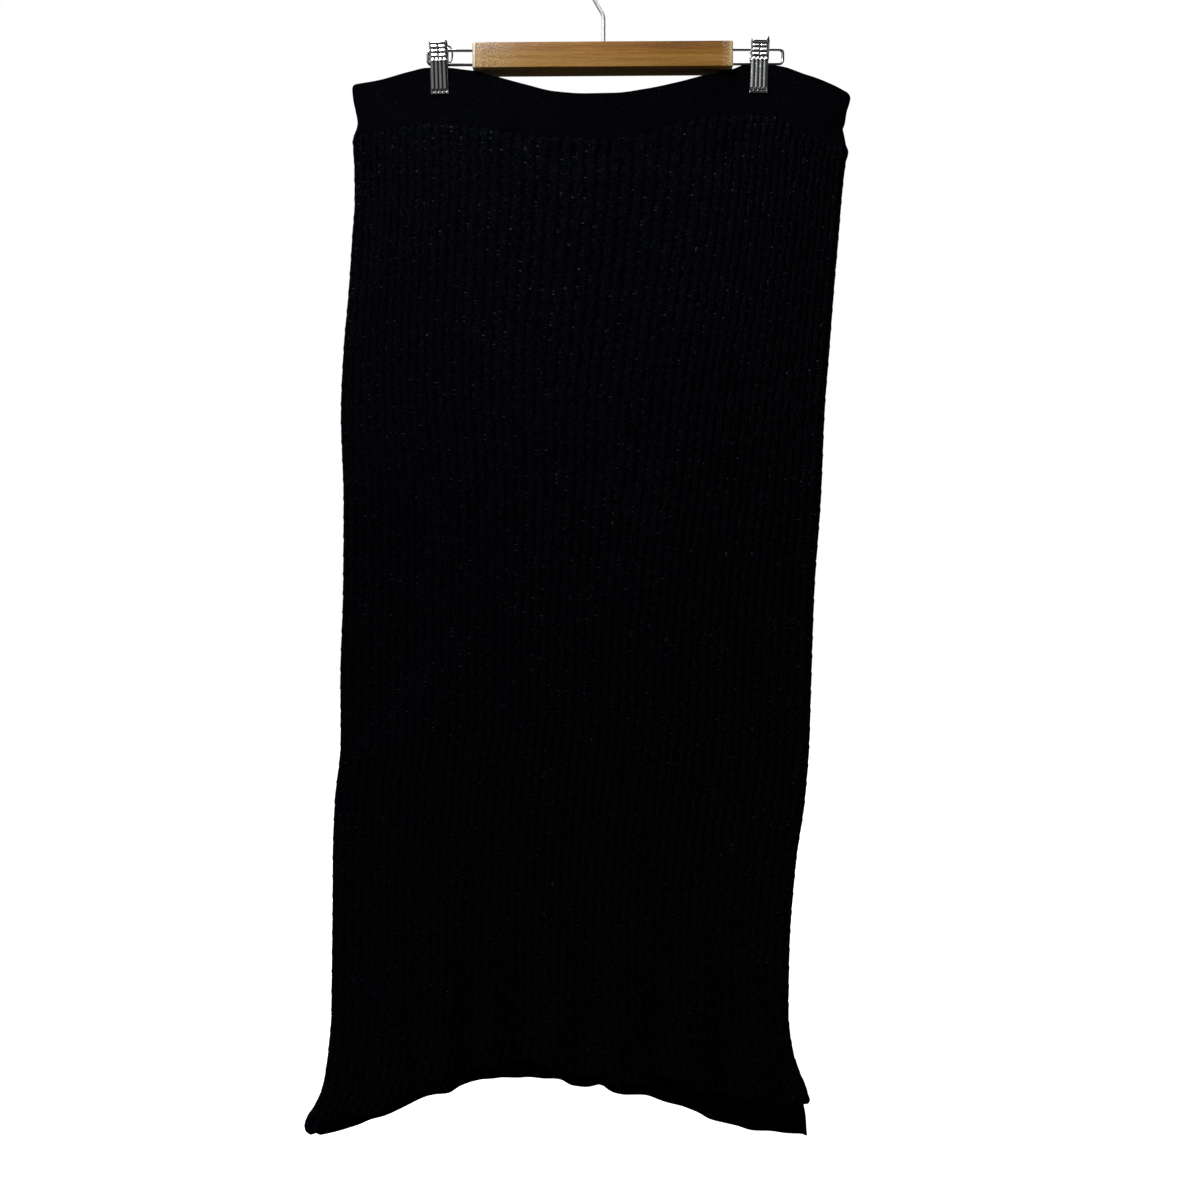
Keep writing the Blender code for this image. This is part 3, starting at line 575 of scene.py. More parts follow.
HEM = (
    # across, front's drop, back's drop
    (-297, 1049.5, 1049.5), (-291.5, 1053.5, 1061), (-285.5, 1057.5, 1072), (-273.5, 1053, 1070),
    (-249.5, 1044, 1065), (-229.5, 1038, 1055), (-209.5, 1033, 1049), (-187.5, 1023, 1041),
    (-171.5, 1017, 1035.5), (-155.5, 1014, 1031), (-143.5, 1007, 1023), (-131.5, 1001, 1021),
    (-117.5, 996, 1020.5), (-101.5, 992, 1016.5), (-79.5, 991, 1014.5), (-58.5, 994, 1019.5),
    (-43.5, 1001, 1022), (-32.5, 1004, 1026), (-19.5, 1006, 1025), (-5.5, 1005, 1022.5),
    (8.5, 1010, 1033), (22.5, 1012, 1037.5), (42.5, 1011, 1035), (50.5, 1007, 1036.5),
    (76.5, 1007, 1045), (92.5, 1017, 1053.5), (106.5, 1020, 1060), (128.5, 1023, 1061.5),
    (148.5, 1027, 1069), (168.5, 1032, 1071.5), (195, 1029.5, 1071.5), (203, 1028.5, 1066.5),
)
RIB_SPREAD = (
    # share of the ribs from the left seam, share of the width they take at the waist
    (0, 0), (0.148, 0.118), (0.296, 0.262), (0.49, 0.508), (0.685, 0.754), (0.85, 0.893), (1, 1),
)
SPREAD_FADE = (90, 620)
FULLNESS = (
    # drop, distance from the middle plane to the cloth's outer side
    (0, 7.5), (60, 7.2), (134, 7.6), (344, 8.6), (614, 10), (794, 11), (944, 12.5), (1067, 15),
)
GRIP = (
    # drop, how far the clips still hold front and back together
    (0, 1), (34, 1), (64, 0.7), (134, 0.3), (284, 0),
)
GRIP_FLAT, GRIP_EDGE, GRIPPED = 19, 62, 2.3
MOUTH_REACH, MOUTH_WIDTH, MOUTH_DROP = 4.5, 62, 90
FALL_BACK, FALL_BACK_FADE = 10, (120, 460)
FALL_FROM_LEFT, FALL_FROM_RIGHT, FALL_RUN = 172, 165, 85
SWAY_LEFT, SWAY_RIGHT = (90, 190), (40, 170)
CREASE_FADE = 0.35
SIDE_SWAY = (
    # drop, how far the left side lies back, how far the right side does
    (0, 0, 0), (344, 0, 2), (614, 5, 6), (794, 7, 2), (944, 2, 0), (1067, -8, -6),
)
FRONT_FOLDS = (
    # across at the hem, half width, height outwards, reach up from the hem
    (-258, 13, -4, 170), (-216, 13, 4.5, 190), (-190, 12, -4.5, 170), (-157, 12, 6, 250),
    (-136, 9, -7.5, 200), (-113, 12, 5.5, 220), (-80, 13, -6, 190), (-44, 13, 5.5, 230),
    (-20, 11, -5, 150), (13, 13, 5.5, 270), (54, 13, -5, 180), (87, 14, 5.5, 240), (120, 12, -5.5, 150),
    (152, 12, 4.5, 170), (180, 10, -3.5, 120),
)
BACK_FOLDS = (
    # across at the hem, half width, height outwards, reach up from the hem
    (-252, 14, 4, 150), (-222, 13, -4.5, 190), (-182, 15, 6, 260), (-148, 12, -5.5, 180),
    (-120, 11, 4.5, 160), (-84, 15, -6, 240), (-46, 14, 6, 200), (-12, 13, -5.5, 220),
    (24, 14, 5.5, 180), (62, 15, -5.5, 260), (98, 12, 5, 190), (132, 13, -5, 160), (168, 12, 4.5, 210),
)
FRONT_CREASES = (
    # from across, from drop, to across, to drop, half width, height outwards
    (-205, 80, -224, 270, 9, 1.5), (-229, 85, -240, 240, 11, -1.6), (-181, 72, -204, 150, 6, -0.9),
    (-150, 72, -116, 142, 7, -0.9), (-84, 96, 44, 92, 9, -0.9), (-60, 118, 30, 114, 10, 0.7),
    (146, 64, 100, 118, 7, -0.9), (60, 78, 96, 104, 6, -0.7), (170, 66, 192, 150, 7, -1.1),
    (178, 92, 206, 260, 10, 1.1), (-165, 520, -258, 700, 22, -1.9), (-130, 560, -236, 770, 20, 1.3),
    (196, 300, 180, 720, 14, -1.5), (-62, 250, -20, 430, 12, -0.7), (58, 330, 92, 540, 14, 0.8),
    (-8, 560, 32, 780, 15, -0.8), (-108, 300, -132, 500, 14, 0.7), (120, 620, 96, 820, 14, -0.9),
)
BACK_CREASES = (
    # from across, from drop, to across, to drop, half width, height outwards
    (206, 80, 216, 250, 10, 1.4), (-210, 84, -226, 230, 9, 1.3), (-150, 74, -112, 150, 7, -0.9),
    (142, 70, 104, 140, 7, -0.9), (-70, 98, 52, 94, 10, -0.9), (-30, 230, -70, 420, 14, 0.8),
    (80, 300, 50, 520, 16, -0.9), (-170, 380, -210, 620, 18, -1.5), (160, 480, 130, 760, 16, 1.2),
    (-60, 580, -20, 790, 16, -1),
)


def curve_through(table, at, column=1):
    """Smooth curve through one column of a table: cubic spans whose slope at each row is the
    harmonic mean of its neighbours', and level where the values turn."""
    rows = np.array(table, dtype=float)
    place, value = rows[:, 0], rows[:, column]
    steps = np.diff(value) / np.diff(place)
    both = steps[1:] * steps[:-1]
    slope = np.concatenate([steps[:1], np.zeros(len(steps) - 1), steps[-1:]])
    turning = both <= 0
    slope[1:-1] = np.where(turning, 0, 2 * both / np.where(turning, 1, steps[1:] + steps[:-1]))
    at = np.clip(at, place[0], place[-1])
    span = np.clip(np.searchsorted(place, at, side="right") - 1, 0, len(place) - 2)
    width = place[span + 1] - place[span]
    t = (at - place[span]) / width
    ends = value[span] * (1 + 2 * t) * (1 - t) ** 2 + value[span + 1] * t * t * (3 - 2 * t)
    return ends + width * (slope[span] * t * (1 - t) ** 2 - slope[span + 1] * t * t * (1 - t))


def rib_share(ribs, drop):
    """Share of the width at each rib: bunched by the clips at the waist, even lower down."""
    fade = 1 - ease((drop - SPREAD_FADE[0]) / (SPREAD_FADE[1] - SPREAD_FADE[0]))
    return ribs + (curve_through(RIB_SPREAD, ribs) - ribs) * fade


def waist_line(table, ribs, column=1):
    """Drop of a line across the waist at each rib."""
    rows = np.array(table, dtype=float)
    left, right = WAIST_SEAM[0][0], WAIST_SEAM[-1][0]
    spread = np.array(RIB_SPREAD)
    share = np.interp((rows[:, 0] - left) / (right - left), spread[:, 1], spread[:, 0])
    return curve_through(np.stack([share, rows[:, column]], axis=-1), ribs)


def hem_line(ribs, column):
    """Drop of the hem at each rib, where the ribs are evenly spread."""
    rows = np.array(HEM, dtype=float)
    share = (rows[:, 0] - rows[0, 0]) / (rows[-1, 0] - rows[0, 0])
    return curve_through(np.stack([share, rows[:, column]], axis=-1), ribs)


def middle_plane(across, drop):
    """How far back the plane between front and back lies: the ends beyond the clips fall back,
    and the sides sway a little lower down."""
    beyond_left = ease((-across - FALL_FROM_LEFT) / FALL_RUN)
    beyond = np.maximum(beyond_left, ease((across - FALL_FROM_RIGHT) / FALL_RUN))
    fade = 1 - ease((drop - FALL_BACK_FADE[0]) / (FALL_BACK_FADE[1] - FALL_BACK_FADE[0]))
    sway_left = curve_through(SIDE_SWAY, drop, 1) * ease((-across - SWAY_LEFT[0]) / SWAY_LEFT[1])
    sway_right = curve_through(SIDE_SWAY, drop, 2) * ease((across - SWAY_RIGHT[0]) / SWAY_RIGHT[1])
    return FALL_BACK * beyond * fade + sway_left + sway_right


def fullness(face, across, drop, hem):
    """Distance from the middle plane to the cloth: a slack tube pinched at the clips, with bell
    shaped folds that grow towards the hem and long creases that fade at their ends."""
    depth = curve_through(FULLNESS, drop)
    mouth = np.exp(-(across / MOUTH_WIDTH) ** 2) * np.clip(1 - drop / MOUTH_DROP, 0, 1)
    depth = depth + MOUTH_REACH * mouth
    near = np.zeros_like(across)
    for _, middle, *_ in CLIPS:
        near = np.maximum(near, 1 - ease((np.abs(across - middle) - GRIP_FLAT) / (GRIP_EDGE - GRIP_FLAT)))
    grip = near * curve_through(GRIP, drop)
    depth = depth * (1 - grip) + GRIPPED * grip
    for place, half_width, height, reach in (FRONT_FOLDS if face > 0 else BACK_FOLDS):
        rise = ease(1 - (hem - drop) / reach)
        depth = depth + height * rise * np.exp(-((across - place) / half_width) ** 2)
    for x0, d0, x1, d1, half_width, height in (FRONT_CREASES if face > 0 else BACK_CREASES):
        length = math.hypot(x1 - x0, d1 - d0)
        along = ((across - x0) * (x1 - x0) + (drop - d0) * (d1 - d0)) / length ** 2
        away = ((across - x0) * (d1 - d0) - (drop - d0) * (x1 - x0)) / length
        fade = ease(along / CREASE_FADE) * ease((1 - along) / CREASE_FADE)
        depth = depth + height * fade * np.exp(-(away / half_width) ** 2)
    return depth


def drape(face, ribs, drop, offset):
    """Points of one side of a panel, rows down the cloth by ribs across it. A level section runs
    from the left seam forward round a quarter turn, across and back to the right seam."""
    left = curve_through(SIDES, drop[:, :1], 1)
    right = curve_through(SIDES, drop[:, -1:], 2 if face > 0 else 3)
    quarter = SIDE_CURL * math.pi / 2
    length = right - left - 2 * SIDE_CURL + 2 * quarter
    run = rib_share(ribs, drop) * length
    first_half = run < length / 2
    from_seam = np.where(first_half, run, length - run)
    turn = np.clip(from_seam / quarter, 0, 1) * math.pi / 2
    inwards = SIDE_CURL * (1 - np.cos(turn)) + np.maximum(from_seam - quarter, 0)
    outward = np.where(first_half, -1, 1)
    across = np.where(first_half, left + inwards, right - inwards)
    hem = hem_line(ribs, 1 if face > 0 else 2)
    depth = fullness(face, across, drop, hem) * np.sin(turn)
    across = across + outward * np.cos(turn) * offset
    depth = depth + np.sin(turn) * offset + SIDE_SEAM_GAP / 2
    back = middle_plane(across, drop) - face * depth
    return np.stack([across, back, -(WAIST_DROP + drop)], axis=-1)


def cable_relief(ribs, length_down):
    """Height of a rib's two wales over the purl ground, from 0 to 1.3.

    Across a rib each wale is a rounded half cosine. Once in each cable length the wales swap
    places along an eased step: the one on top swells, the one beneath sinks, and the taller
    shows. Every other rib is half a cable later."""
    phase = (ribs * RIB_COUNT) % 1
    stagger = (np.floor(ribs * RIB_COUNT + 1e-9) % 2) * 0.5
    turn = (length_down / CABLE_LENGTH + stagger) % 1
    swap = 1 - 2 * ease((turn - CROSS_START) / (CROSS_STOP - CROSS_START))
    crossing = np.sin(math.pi * np.clip((turn - SWELL_START) / SWELL_SPAN, 0, 1)) ** 2
    over = np.clip((phase - 0.5 + WALE_OFFSET * swap) / WALE_HALF_WIDTH, -1, 1)
    under = np.clip((phase - 0.5 - WALE_OFFSET * swap) / WALE_HALF_WIDTH, -1, 1)
    over_height = (1 + OVER_SWELL * crossing) * np.cos(over * math.pi / 2) ** WALE_ROUND
    under_height = (1 - UNDER_SINK * crossing) * np.cos(under * math.pi / 2) ** WALE_ROUND
    return np.maximum(over_height, under_height)


def rows_between(top, bottom, count):
    """Drops of evenly parted rows from one line of the cloth to another."""
    return top + np.linspace(0, 1, count)[:, None] * (bottom - top)


def store_yarn(piece, values):
    """Keeps the knit's own coordinates at each point, for the knit's finish to read."""
    store = piece.data.attributes.new("yarn", "FLOAT_VECTOR", "POINT")
    store.data.foreach_set("vector", values.astype(np.float32).ravel())


def cloth_shell(name, outside, inside, yarn):
    """A closed shell between an outer grid and a coarser inner one, each of whose rows and columns
    is one of the outer's; yarn holds the knit's own coordinates at each outer point."""
    rows, columns = outside.shape[:2]
    inner_rows, inner_columns = inside.shape[:2]
    base = rows * columns
    step = (columns - 1) // (inner_columns - 1)
    row_step = (rows - 1) // (inner_rows - 1)
    groups = [quads(rows, columns)[:, ::-1], quads(inner_rows, inner_columns, base)]
    near = np.arange(inner_columns - 1)
    for row, inner_row in ((0, 0), (rows - 1, inner_rows - 1)):
        outer = row * columns + near[:, None] * step + np.arange(step + 1)
        inner = base + inner_row * inner_columns + near[:, None] + np.array([1, 0])
        rim = np.concatenate([outer, inner], axis=1)
        groups.append(rim if row == 0 else rim[:, ::-1])
    down = np.arange(inner_rows - 1)
    for column, inner_column in ((0, 0), (columns - 1, inner_columns - 1)):
        outer = (down[:, None] * row_step + np.arange(row_step + 1)) * columns + column
        inner = base + (down[:, None] + np.array([1, 0])) * inner_columns + inner_column
        rim = np.concatenate([outer, inner], axis=1)
        groups.append(rim[:, ::-1] if column == 0 else rim)
    points = np.concatenate([outside.reshape(-1, 3), inside.reshape(-1, 3)])
    piece = make_piece(name, points, groups, smooth_angle=75)
    lining = yarn[::row_step, ::step].copy()
    lining[..., 2] = 0
    store_yarn(piece, np.concatenate([yarn.reshape(-1, 3), lining.reshape(-1, 3)]))
    return piece


def skirt_half(face, side):
    """Half of a panel, from a side seam to the groove at its middle."""
    first, last = (0, RIB_COUNT // 2) if side == "left" else (RIB_COUNT // 2, RIB_COUNT)
    all_ribs = np.linspace(0, 1, RIB_COUNT * COLUMNS_PER_RIB + 1)
    column = 1 if face > 0 else 2
    row_count = FRONT_ROWS if face > 0 else BACK_ROWS
    top = waist_line(WAIST_SEAM, all_ribs) + SEAM_GAP / 2
    drops = rows_between(top, hem_line(all_ribs, column), row_count)
    length_down = np.linspace(0, YARN_LENGTH, row_count)[:, None]
    height = cable_relief(all_ribs[None, :], length_down)
    from_end = np.minimum(length_down, length_down[-1] - length_down)
    relief = height * (END_RELIEF + (1 - END_RELIEF) * ease(from_end / END_FADE))
    from_groove = length_down[-1] - length_down - HEM_TURNED
    groove = HEM_GROOVE * np.exp(-(from_groove / HEM_GROOVE_HALF) ** 2)
    seam_fade = ease(np.minimum(all_ribs, 1 - all_ribs) * RIB_COUNT / SEAM_FADE)
    outside = drape(face, all_ribs, drops, (relief * RIB_HEIGHT - RIB_SUNK - groove) * seam_fade)
    inside = drape(face, all_ribs, drops, -BODY_WALL)
    flat = 0 * height
    yarn = np.stack([all_ribs * RIB_COUNT + flat, length_down + flat, 1 + flat], axis=-1)
    kept = slice(first * COLUMNS_PER_RIB, last * COLUMNS_PER_RIB + 1)
    name = f"skirt_{'front' if face > 0 else 'back'}_{side}_half"
    lining = inside[::LINING_STEP[0], kept][:, ::LINING_STEP[1]]
    return cloth_shell(name, outside[:, kept], lining, yarn[:, kept])


def stitch_group():
    """Knit stitches from two coordinates that count stitches across and courses down.

    Each stitch is a V: its rows are a sine of the course, set back by the distance from the
    stitch's middle, and its legs a sine across it. A chance number for each stitch picks the
    few where the metallic thread comes up, as a dot in the stitch's middle."""
    tree = bpy.data.node_groups.new("knit_stitches", "ShaderNodeTree")
    for name in ("Across", "Down", "Fleck share"):
        tree.interface.new_socket(name, in_out="INPUT", socket_type="NodeSocketFloat")
    for name in ("Height", "Shade", "Fleck", "Fleck tone", "Fleck hue"):
        tree.interface.new_socket(name, in_out="OUTPUT", socket_type="NodeSocketFloat")
    given = tree.nodes.new("NodeGroupInput").outputs
    result = tree.nodes.new("NodeGroupOutput")
    across, down = Signal(tree, given["Across"]), Signal(tree, given["Down"])
    in_stitch = across.step("FRACT")
    lean = abs(in_stitch - 0.5)
    slanted = down + lean * STITCH_SLANT
    loop = abs((slanted * math.pi).step("SINE"))
    leg = abs((in_stitch * (2 * math.pi)).step("SINE"))
    place = add_node(tree, "CombineXYZ", {"X": across * FIBRE_SCALE[0], "Y": slanted * FIBRE_SCALE[1]})
    fibre = noise(tree, place.outputs["Vector"], FIBRE_STRETCH, 3, 0.65)
    wale, course = across.step("FLOOR"), down.step("FLOOR")
    cell_across = wale * CELL_ACROSS[0] + course * CELL_ACROSS[1]
    cell_down = course * CELL_DOWN[1] + wale * CELL_DOWN[0]
    cell = add_node(tree, "CombineXYZ", {"X": cell_across, "Y": cell_down})
    chance = add_node(tree, "TexWhiteNoise", {"Vector": cell.outputs["Vector"]}, noise_dimensions="2D")
    picked = Signal(tree, chance.outputs["Value"]).step("LESS_THAN", Signal(tree, given["Fleck share"]))
    off_course = down.step("FRACT") - 0.5
    dot = (lean * lean * FLECK_NARROW + off_course * off_course).eased(*FLECK_EDGE, 1, 0)
    split = add_node(tree, "SeparateColor", {"Color": chance.outputs["Color"]}).outputs
    own_tone = Signal(tree, split["Red"])
    feed(tree, result, {
        "Height": loop * 0.45 + leg * 0.25 + fibre * 0.3,
        # Shade: a little painted shade along each stitch's loop plus the yarn's own random tone
        "Shade": loop * 0.15 + fibre * 0.25 + own_tone * own_tone * 0.90,
        "Fleck": picked * dot,
        "Fleck tone": Signal(tree, split["Green"]) ** 3,
        "Fleck hue": split["Blue"],
    })
    return tree


def cabled_wales(tree, rib, down):
    """The cable in nodes, its wales plain half cosines: stitches counted across whichever is on top,
    and the height there. The upper wale has stitches 0 and 1 of its rib, the lower 2 and 3, the
    ground 4."""
    phase = rib.step("FRACT")
    whole = rib.step("FLOOR")
    turn = (down / CABLE_LENGTH + (whole * 0.5).step("FRACT")).step("FRACT")
    swap = turn.eased(CROSS_START, CROSS_STOP, 1, -1)
    crossing = (turn - SWELL_START) * (math.pi / SWELL_SPAN)
    bulge = crossing.step("MAXIMUM", 0).step("MINIMUM", math.pi).step("SINE")
    swell = bulge * bulge
    limit = []
    for sign in (1, -1):
        offset = (phase - 0.5 + swap * (sign * WALE_OFFSET)) / WALE_HALF_WIDTH
        limit.append(offset.step("MAXIMUM", -1).step("MINIMUM", 1))
    over_height = (swell * OVER_SWELL + 1) * (limit[0] * (math.pi / 2)).step("COSINE")
    under_height = (swell * -UNDER_SINK + 1) * (limit[1] * (math.pi / 2)).step("COSINE")
    on_top = over_height.step("GREATER_THAN", under_height)
    height = over_height.step("MAXIMUM", under_height)
    wale = on_top.where(limit[0] + 1, limit[1] + 3)
    ground = height.step("LESS_THAN", 0.1)
    shifted = rib + 0.5
    between = shifted.step("FRACT") + shifted.step("FLOOR") * 5 + 4
    return ground.where(between, wale + whole * 5), height


def knit_finish(name, yarn_dark, yarn_light, fleck_share, stitch_depth, drift_scale, drift_share, cabled):
    """Near-black knit from the yarn attribute: stitches in bump and in a tone mixing their own random
    tone with painted shade along their loops, painted shade in the grooves, metallic flecks of
    uneven brightness and hue, and hardly any gloss."""
    material, tree, shader = new_finish(name)
    attribute = add_node(tree, "Attribute", attribute_name="yarn")
    first, second, outer = three_parts(tree, attribute.outputs["Vector"])
    across, down, relief = first, second, outer * 0.5
    if cabled:
        wales, height = cabled_wales(tree, first, second)
        outside = outer.step("GREATER_THAN", 0.5)
        across = outside.where(wales, first * 5)
        relief = outside.where(height, 0.4)
        down = second / COURSE_LENGTH
    inputs = {"Across": across, "Down": down, "Fleck share": fleck_share}
    stitches = add_node(tree, "Group", inputs, node_tree=knit_stitches)
    stitch, shade, mask, fleck_tone, fleck_hue = (Signal(tree, output) for output in stitches.outputs)
    drift = noise(tree, object_place(tree), drift_scale, 3)
    # The relief term paints shade into the grooves between the wales; the rest is stitch tone and random
    # drift
    tone = shade * 0.74 + relief * 0.20 + drift * drift_share
    yarn = colour_ramp(tree, tone, [(0.28, yarn_dark), (0.90, yarn_light)])
    fleck = mix_colours(tree, fleck_tone, FLECK_DIM, colour_ramp(tree, fleck_hue, FLECK_HUES))
    depth = stitch + relief * (0.4 if cabled else 0)
    feed(tree, shader, {
        "Base Color": mix_colours(tree, mask, yarn, fleck),
        "Metallic": mask * 0.9,
        "Roughness": mask * -0.45 + 0.88,
        "Normal": bump(tree, depth, stitch_depth),
        "Specular IOR Level": 0.006,
        "Sheen Weight": 0.002,
        "Sheen Roughness": 0.5,
        "Sheen Tint": (0.55, 0.65, 1, 1),
    })
    return material


knit_stitches = stitch_group()
ribbed_knit = knit_finish(
    "ribbed_knit", yarn_dark=(0.0001, 0.0004, 0.0015), yarn_light=(0.0047, 0.0050, 0.0071), fleck_share=0.12,
    stitch_depth=0.0006, drift_scale=(7, 7, 4), drift_share=0.12, cabled=True)
for face, face_name in ((1, "front"), (-1, "back")):
    for side in ("left", "right"):
        half = skirt_half(face, side)
        half.data.materials.append(ribbed_knit)
        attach(half, "root")
        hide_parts("skirt_" + face_name)

# The waistband
# A doubled band of the same yarn in fine plain knit, folded over at the top edge and linked
# to the ribs along the waist seam. The clips pinch its front and back together.
BAND_WALL, BAND_FOOT = 2.3, 0.5
LINK_COUNT, LINK_SWING, LINK_LIFT, LINK_WAVE, LINK_THREAD = 260, 0.7, 0.15, 0.1, 0.6
BAND_WALE, BAND_COURSE = 1.5, 1.3
BAND_COLUMNS, BAND_ROWS, LINK_ENDS, LINK_STEPS, LINK_SIDES = 361, 26, (0.006, 0.994), 6, 5
WAIST_EDGE = (
    # across, front's drop, back's drop
    (-251.5, 20, 18.5), (-243.5, 17, 16), (-215.5, 13.5, 12.5), (-187.5, 5.5, 4.5), (-172, 2.5, 2.5),
    (-155, 2, 2), (-131.5, 5, 7), (-103.5, 13.5, 16), (-75.5, 21.5, 24), (-47.5, 29, 29.5),
    (-19.5, 31.5, 28.5), (8.5, 31, 26.5), (36.5, 26.5, 22), (64.5, 19.5, 15.5), (92.5, 11.5, 8.5),
    (123, 2.9, 2.9), (128.5, 0.1, 0.1), (137, -0.3, -0.3), (146.5, -0.6, -0.6), (165, 0.5, 0.5),
    (190.5, 8.5, 5.5), (218.5, 18, 15), (246, 28.5, 26),
)


def band_half(face):
    """The band's wall as a closed loop of rows: down the outside, round the bottom, up the inside
    and over the folded top along a half circle."""
    ribs = np.linspace(0, 1, BAND_COLUMNS)
    top = waist_line(WAIST_EDGE, ribs, 1 if face > 0 else 2)
    bottom = waist_line(WAIST_SEAM, ribs) - SEAM_GAP / 2
    fold = BAND_WALL / 2
    round_top = np.linspace(math.pi / 2, 0, 5)
    round_foot = np.linspace(0, math.pi / 2, 4)
    share = np.linspace(0, 1, BAND_ROWS)[:, None]
    outer_top = top + fold * (1 - np.sin(round_top))[:, None]
    outer_rows = (top + fold) + share[1:-1] * (bottom - BAND_FOOT - top - fold)
    foot_rows = bottom - BAND_FOOT * (1 - np.sin(round_foot))[:, None]
    down = np.concatenate([outer_top, outer_rows, foot_rows])
    out_top = fold * (np.cos(round_top) - 1)
    out_foot = -BAND_FOOT * (1 - np.cos(round_foot))
    offset = np.concatenate([out_top, np.zeros(len(outer_rows)), out_foot])[:, None]
    outside = drape(face, ribs, down, offset)
    inside = drape(face, ribs, down[::-1][:-1], -BAND_WALL - offset[::-1][:-1])
    grid = np.concatenate([outside, inside])
    loop = np.concatenate([grid, grid[:1]])
    rows, columns = loop.shape[:2]
    faces = quads(rows, columns)[:, ::-1] % ((rows - 1) * columns)
    left_end = (np.arange(rows - 1) * columns)[None, :]
    right_end = left_end[:, ::-1] + columns - 1
    name = f"waistband_{'front' if face > 0 else 'back'}_knit"
    piece = make_piece(name, grid, [faces, left_end, right_end], smooth_angle=60)
    wale = np.broadcast_to(grid[..., 0] / BAND_WALE, grid.shape[:2])
    below_top = np.concatenate([down - top, (down - top)[::-1][:-1]])
    store_yarn(piece, np.stack([wale, below_top / BAND_COURSE, np.ones(grid.shape[:2])], axis=-1))
    return piece


def linking_thread(face):
    """The linking stitches: a thread that swings over and back across the waist seam as a sine."""
    swing = np.linspace(0, 2 * math.pi * LINK_COUNT, LINK_COUNT * LINK_STEPS + 1)
    ribs = np.linspace(*LINK_ENDS, swing.size)
    drop = waist_line(WAIST_SEAM, ribs) + LINK_SWING * np.sin(swing)
    path = drape(face, ribs, drop[None, :], LINK_LIFT + LINK_WAVE * np.cos(2 * swing)[None, :])[0]
    grid = round_wire(path[:, [0, 2]], LINK_THREAD, LINK_SIDES, dome=2)
    grid[..., 1] += np.pad(path[:, 1], 1, mode="edge")[:, None]
    piece = make_tube(f"waist_link_{'front' if face > 0 else 'back'}", grid)
    along = np.pad(swing, 1, mode="edge")[:, None] / math.pi + 0 * grid[..., 0]
    around = 2 / LINK_SIDES * np.arange(LINK_SIDES) + 0 * along
    store_yarn(piece, np.stack([around, along, 1 + 0 * along], axis=-1))
    return piece


plain_knit = knit_finish(
    "plain_knit", yarn_dark=(0.0001, 0.0003, 0.0009), yarn_light=(0.0026, 0.0028, 0.0045), fleck_share=0.035,
    stitch_depth=0.0004, drift_scale=(26, 26, 40), drift_share=0.55, cabled=False)
for face, face_name in ((1, "front"), (-1, "back")):
    band = band_half(face)
    band.data.materials.append(plain_knit)
    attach(band, "root")
    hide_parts("waistband_" + face_name)
    link = linking_thread(face)
    link.data.materials.append(plain_knit)
    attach(link, "root")

# The studio
# A pale floor below the hem, a white surround, soft light from the upper left and a weak fill from
# the right, seen by a camera at the height of the skirt's middle, square on. One more light shows
# only in the plating, on the right clip.
FLOOR_DROP = 1300
CAMERA_ACROSS, CAMERA_DROP, CAMERA_DISTANCE = -3.5, 645.5, 1060
FRAME_WIDTH, SENSOR_WIDTH = 1200, 36
FLOOR_HALF, FLOOR_GLOW = 6000, 0.75
ROOM_TONES = ((0, (0.22, 0.22, 0.22)), (0.06, (0.18, 0.18, 0.18)), (0.13, (0.02, 0.02, 0.02)),
              (0.64, (0.01, 0.01, 0.01)), (0.70, (0.035, 0.035, 0.036)), (0.76, (0.035, 0.035, 0.036)),
              (0.80, (0.005, 0.005, 0.005)), (0.875, (0.01, 0.01, 0.01)), (0.93, (1.40, 1.40, 1.40)),
              (1, (1.40, 1.40, 1.40)))
PANEL_AIM, PANEL_EDGE, PANEL_TONE = (-0.50, 0.50, 0.71), (0.66, 0.98), 0.45


def camera_ray(tree):
    """1 where the camera looks straight at the surface and 0 in its light and its reflections."""
    return Signal(tree, add_node(tree, "LightPath").outputs["Is Camera Ray"])


def pale_floor():
    """A plain pale square of floor, lit from below for the camera alone, as a light table is."""
    corners = np.array([[-1, -1, 0], [1, -1, 0], [1, 1, 0], [-1, 1, 0]]) * FLOOR_HALF
    floor = make_piece("floor", corners - np.array([0, 0, FLOOR_DROP]), [np.array([[0, 1, 2, 3]])])
    material, tree, shader = new_finish("pale_floor")
    feed(tree, shader, {
        "Base Color": (0.90, 0.90, 0.90, 1),
        "Roughness": 0.9,
        "Emission Color": (1, 1, 1, 1),
        "Emission Strength": camera_ray(tree) * FLOOR_GLOW,
    })
    floor.data.materials.append(material)
    floor.visible_glossy = False
    floor.visible_diffuse = False


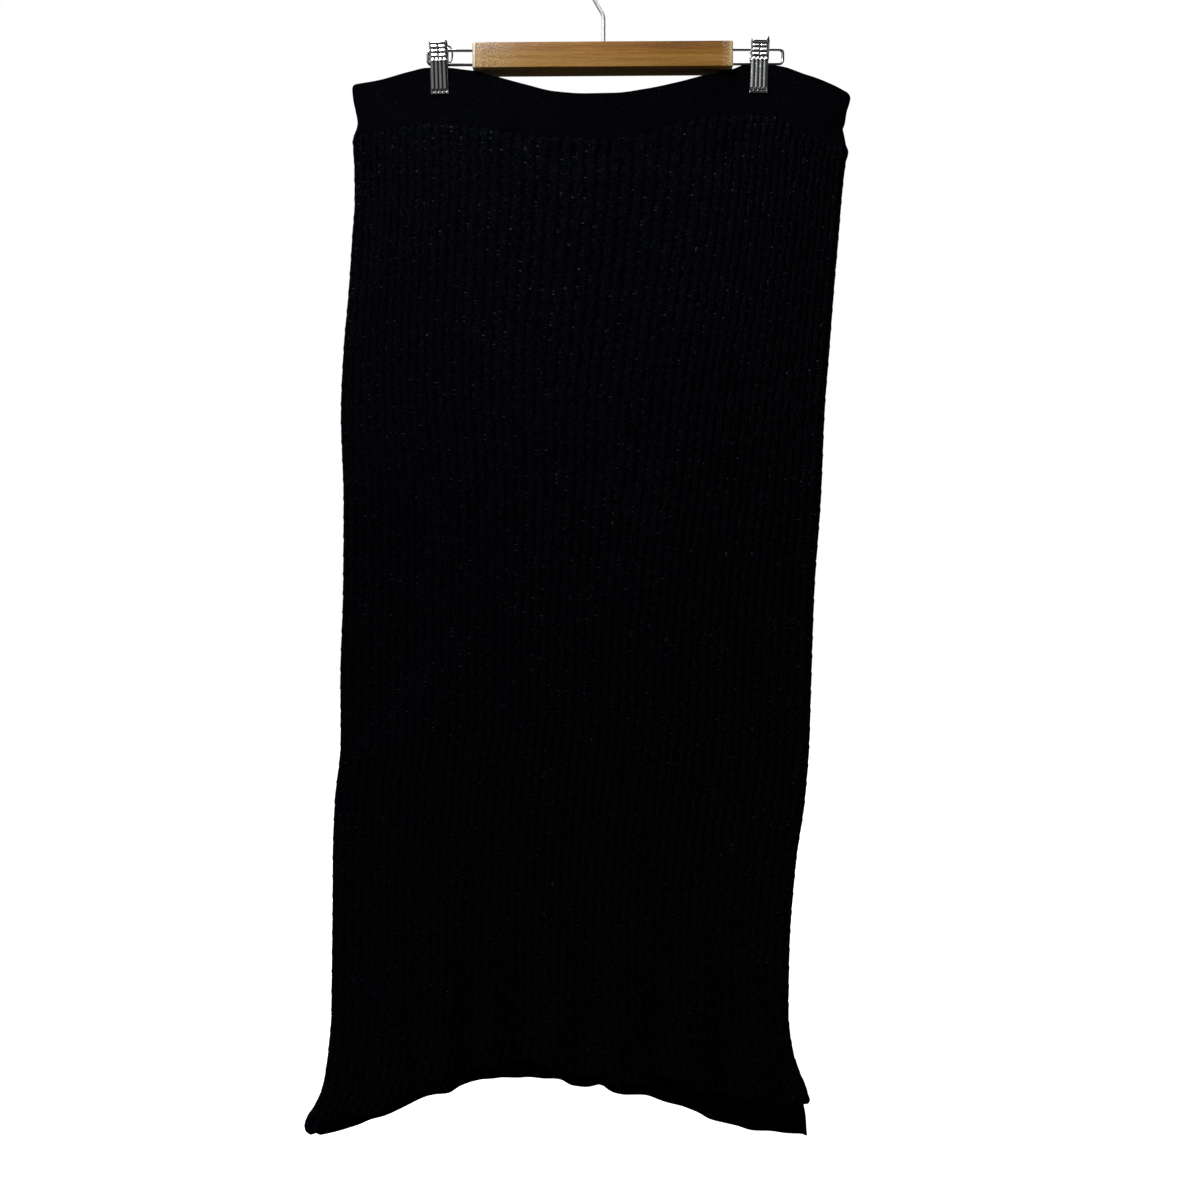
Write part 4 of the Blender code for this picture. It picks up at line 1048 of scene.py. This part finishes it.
def soft_light(name, place, target, size, power, colour):
    """A square area light turned towards a point, in metres and watts."""
    light = bpy.data.lights.new(name, "AREA")
    light.shape = "SQUARE"
    light.size = size
    light.energy = power
    light.color = colour
    lamp = bpy.data.objects.new(name, light)
    bpy.context.scene.collection.objects.link(lamp)
    lamp.location = place
    aim = np.array(target) - np.array(place)
    pitch = math.atan2(math.hypot(aim[0], aim[1]), -aim[2])
    lamp.rotation_euler = (pitch, 0, math.atan2(-aim[0], aim[1]))
    return lamp


def white_surround():
    """White behind the object; what lights it and shows in the chrome is bright overhead, dim from
    below and dark between, but for a grey panel at the upper left in front and one behind."""
    world = bpy.data.worlds.new("surround")
    world.use_nodes = True
    tree = world.node_tree
    across, back, up = three_parts(tree, add_node(tree, "TexCoord").outputs["Generated"])
    towards_panel = across * PANEL_AIM[0] + abs(back) * PANEL_AIM[1] + up * PANEL_AIM[2]
    panel = towards_panel.eased(*PANEL_EDGE) * PANEL_TONE
    room = Signal(tree, colour_ramp(tree, up * 0.5 + 0.5, ROOM_TONES)).step("MAXIMUM", panel)
    seen = mix_colours(tree, camera_ray(tree), room, (1, 1, 1))
    feed(tree, tree.nodes["Background"], {"Color": seen})
    bpy.context.scene.world = world


pale_floor()
white_surround()
soft_light("key", (-0.60, -0.70, 0.85), (-0.10, 0, -0.30), size=0.6, power=19, colour=(0.96, 0.98, 1))
clip_light = soft_light("clip_light", (0.33, -0.72, 0.85), (0.156, 0, -0.10), size=0.5, power=1.3,
                        colour=(1, 1, 1))
clip_light.visible_diffuse = False
soft_light("fill", (1.3, -1.5, -0.1), (0, 0, -0.3), size=1, power=1.8, colour=(1, 0.98, 0.95))
bpy.context.scene.view_settings.view_transform = "Standard"

lens = bpy.data.cameras.new("camera")
lens.sensor_width = SENSOR_WIDTH
lens.lens = lens.sensor_width * CAMERA_DISTANCE / FRAME_WIDTH
camera = bpy.data.objects.new("camera", lens)
bpy.context.scene.collection.objects.link(camera)
camera.location = (CAMERA_ACROSS * MM, -CAMERA_DISTANCE * MM, -CAMERA_DROP * MM)
camera.rotation_euler = (math.pi / 2, 0, 0)
bpy.context.scene.camera = camera
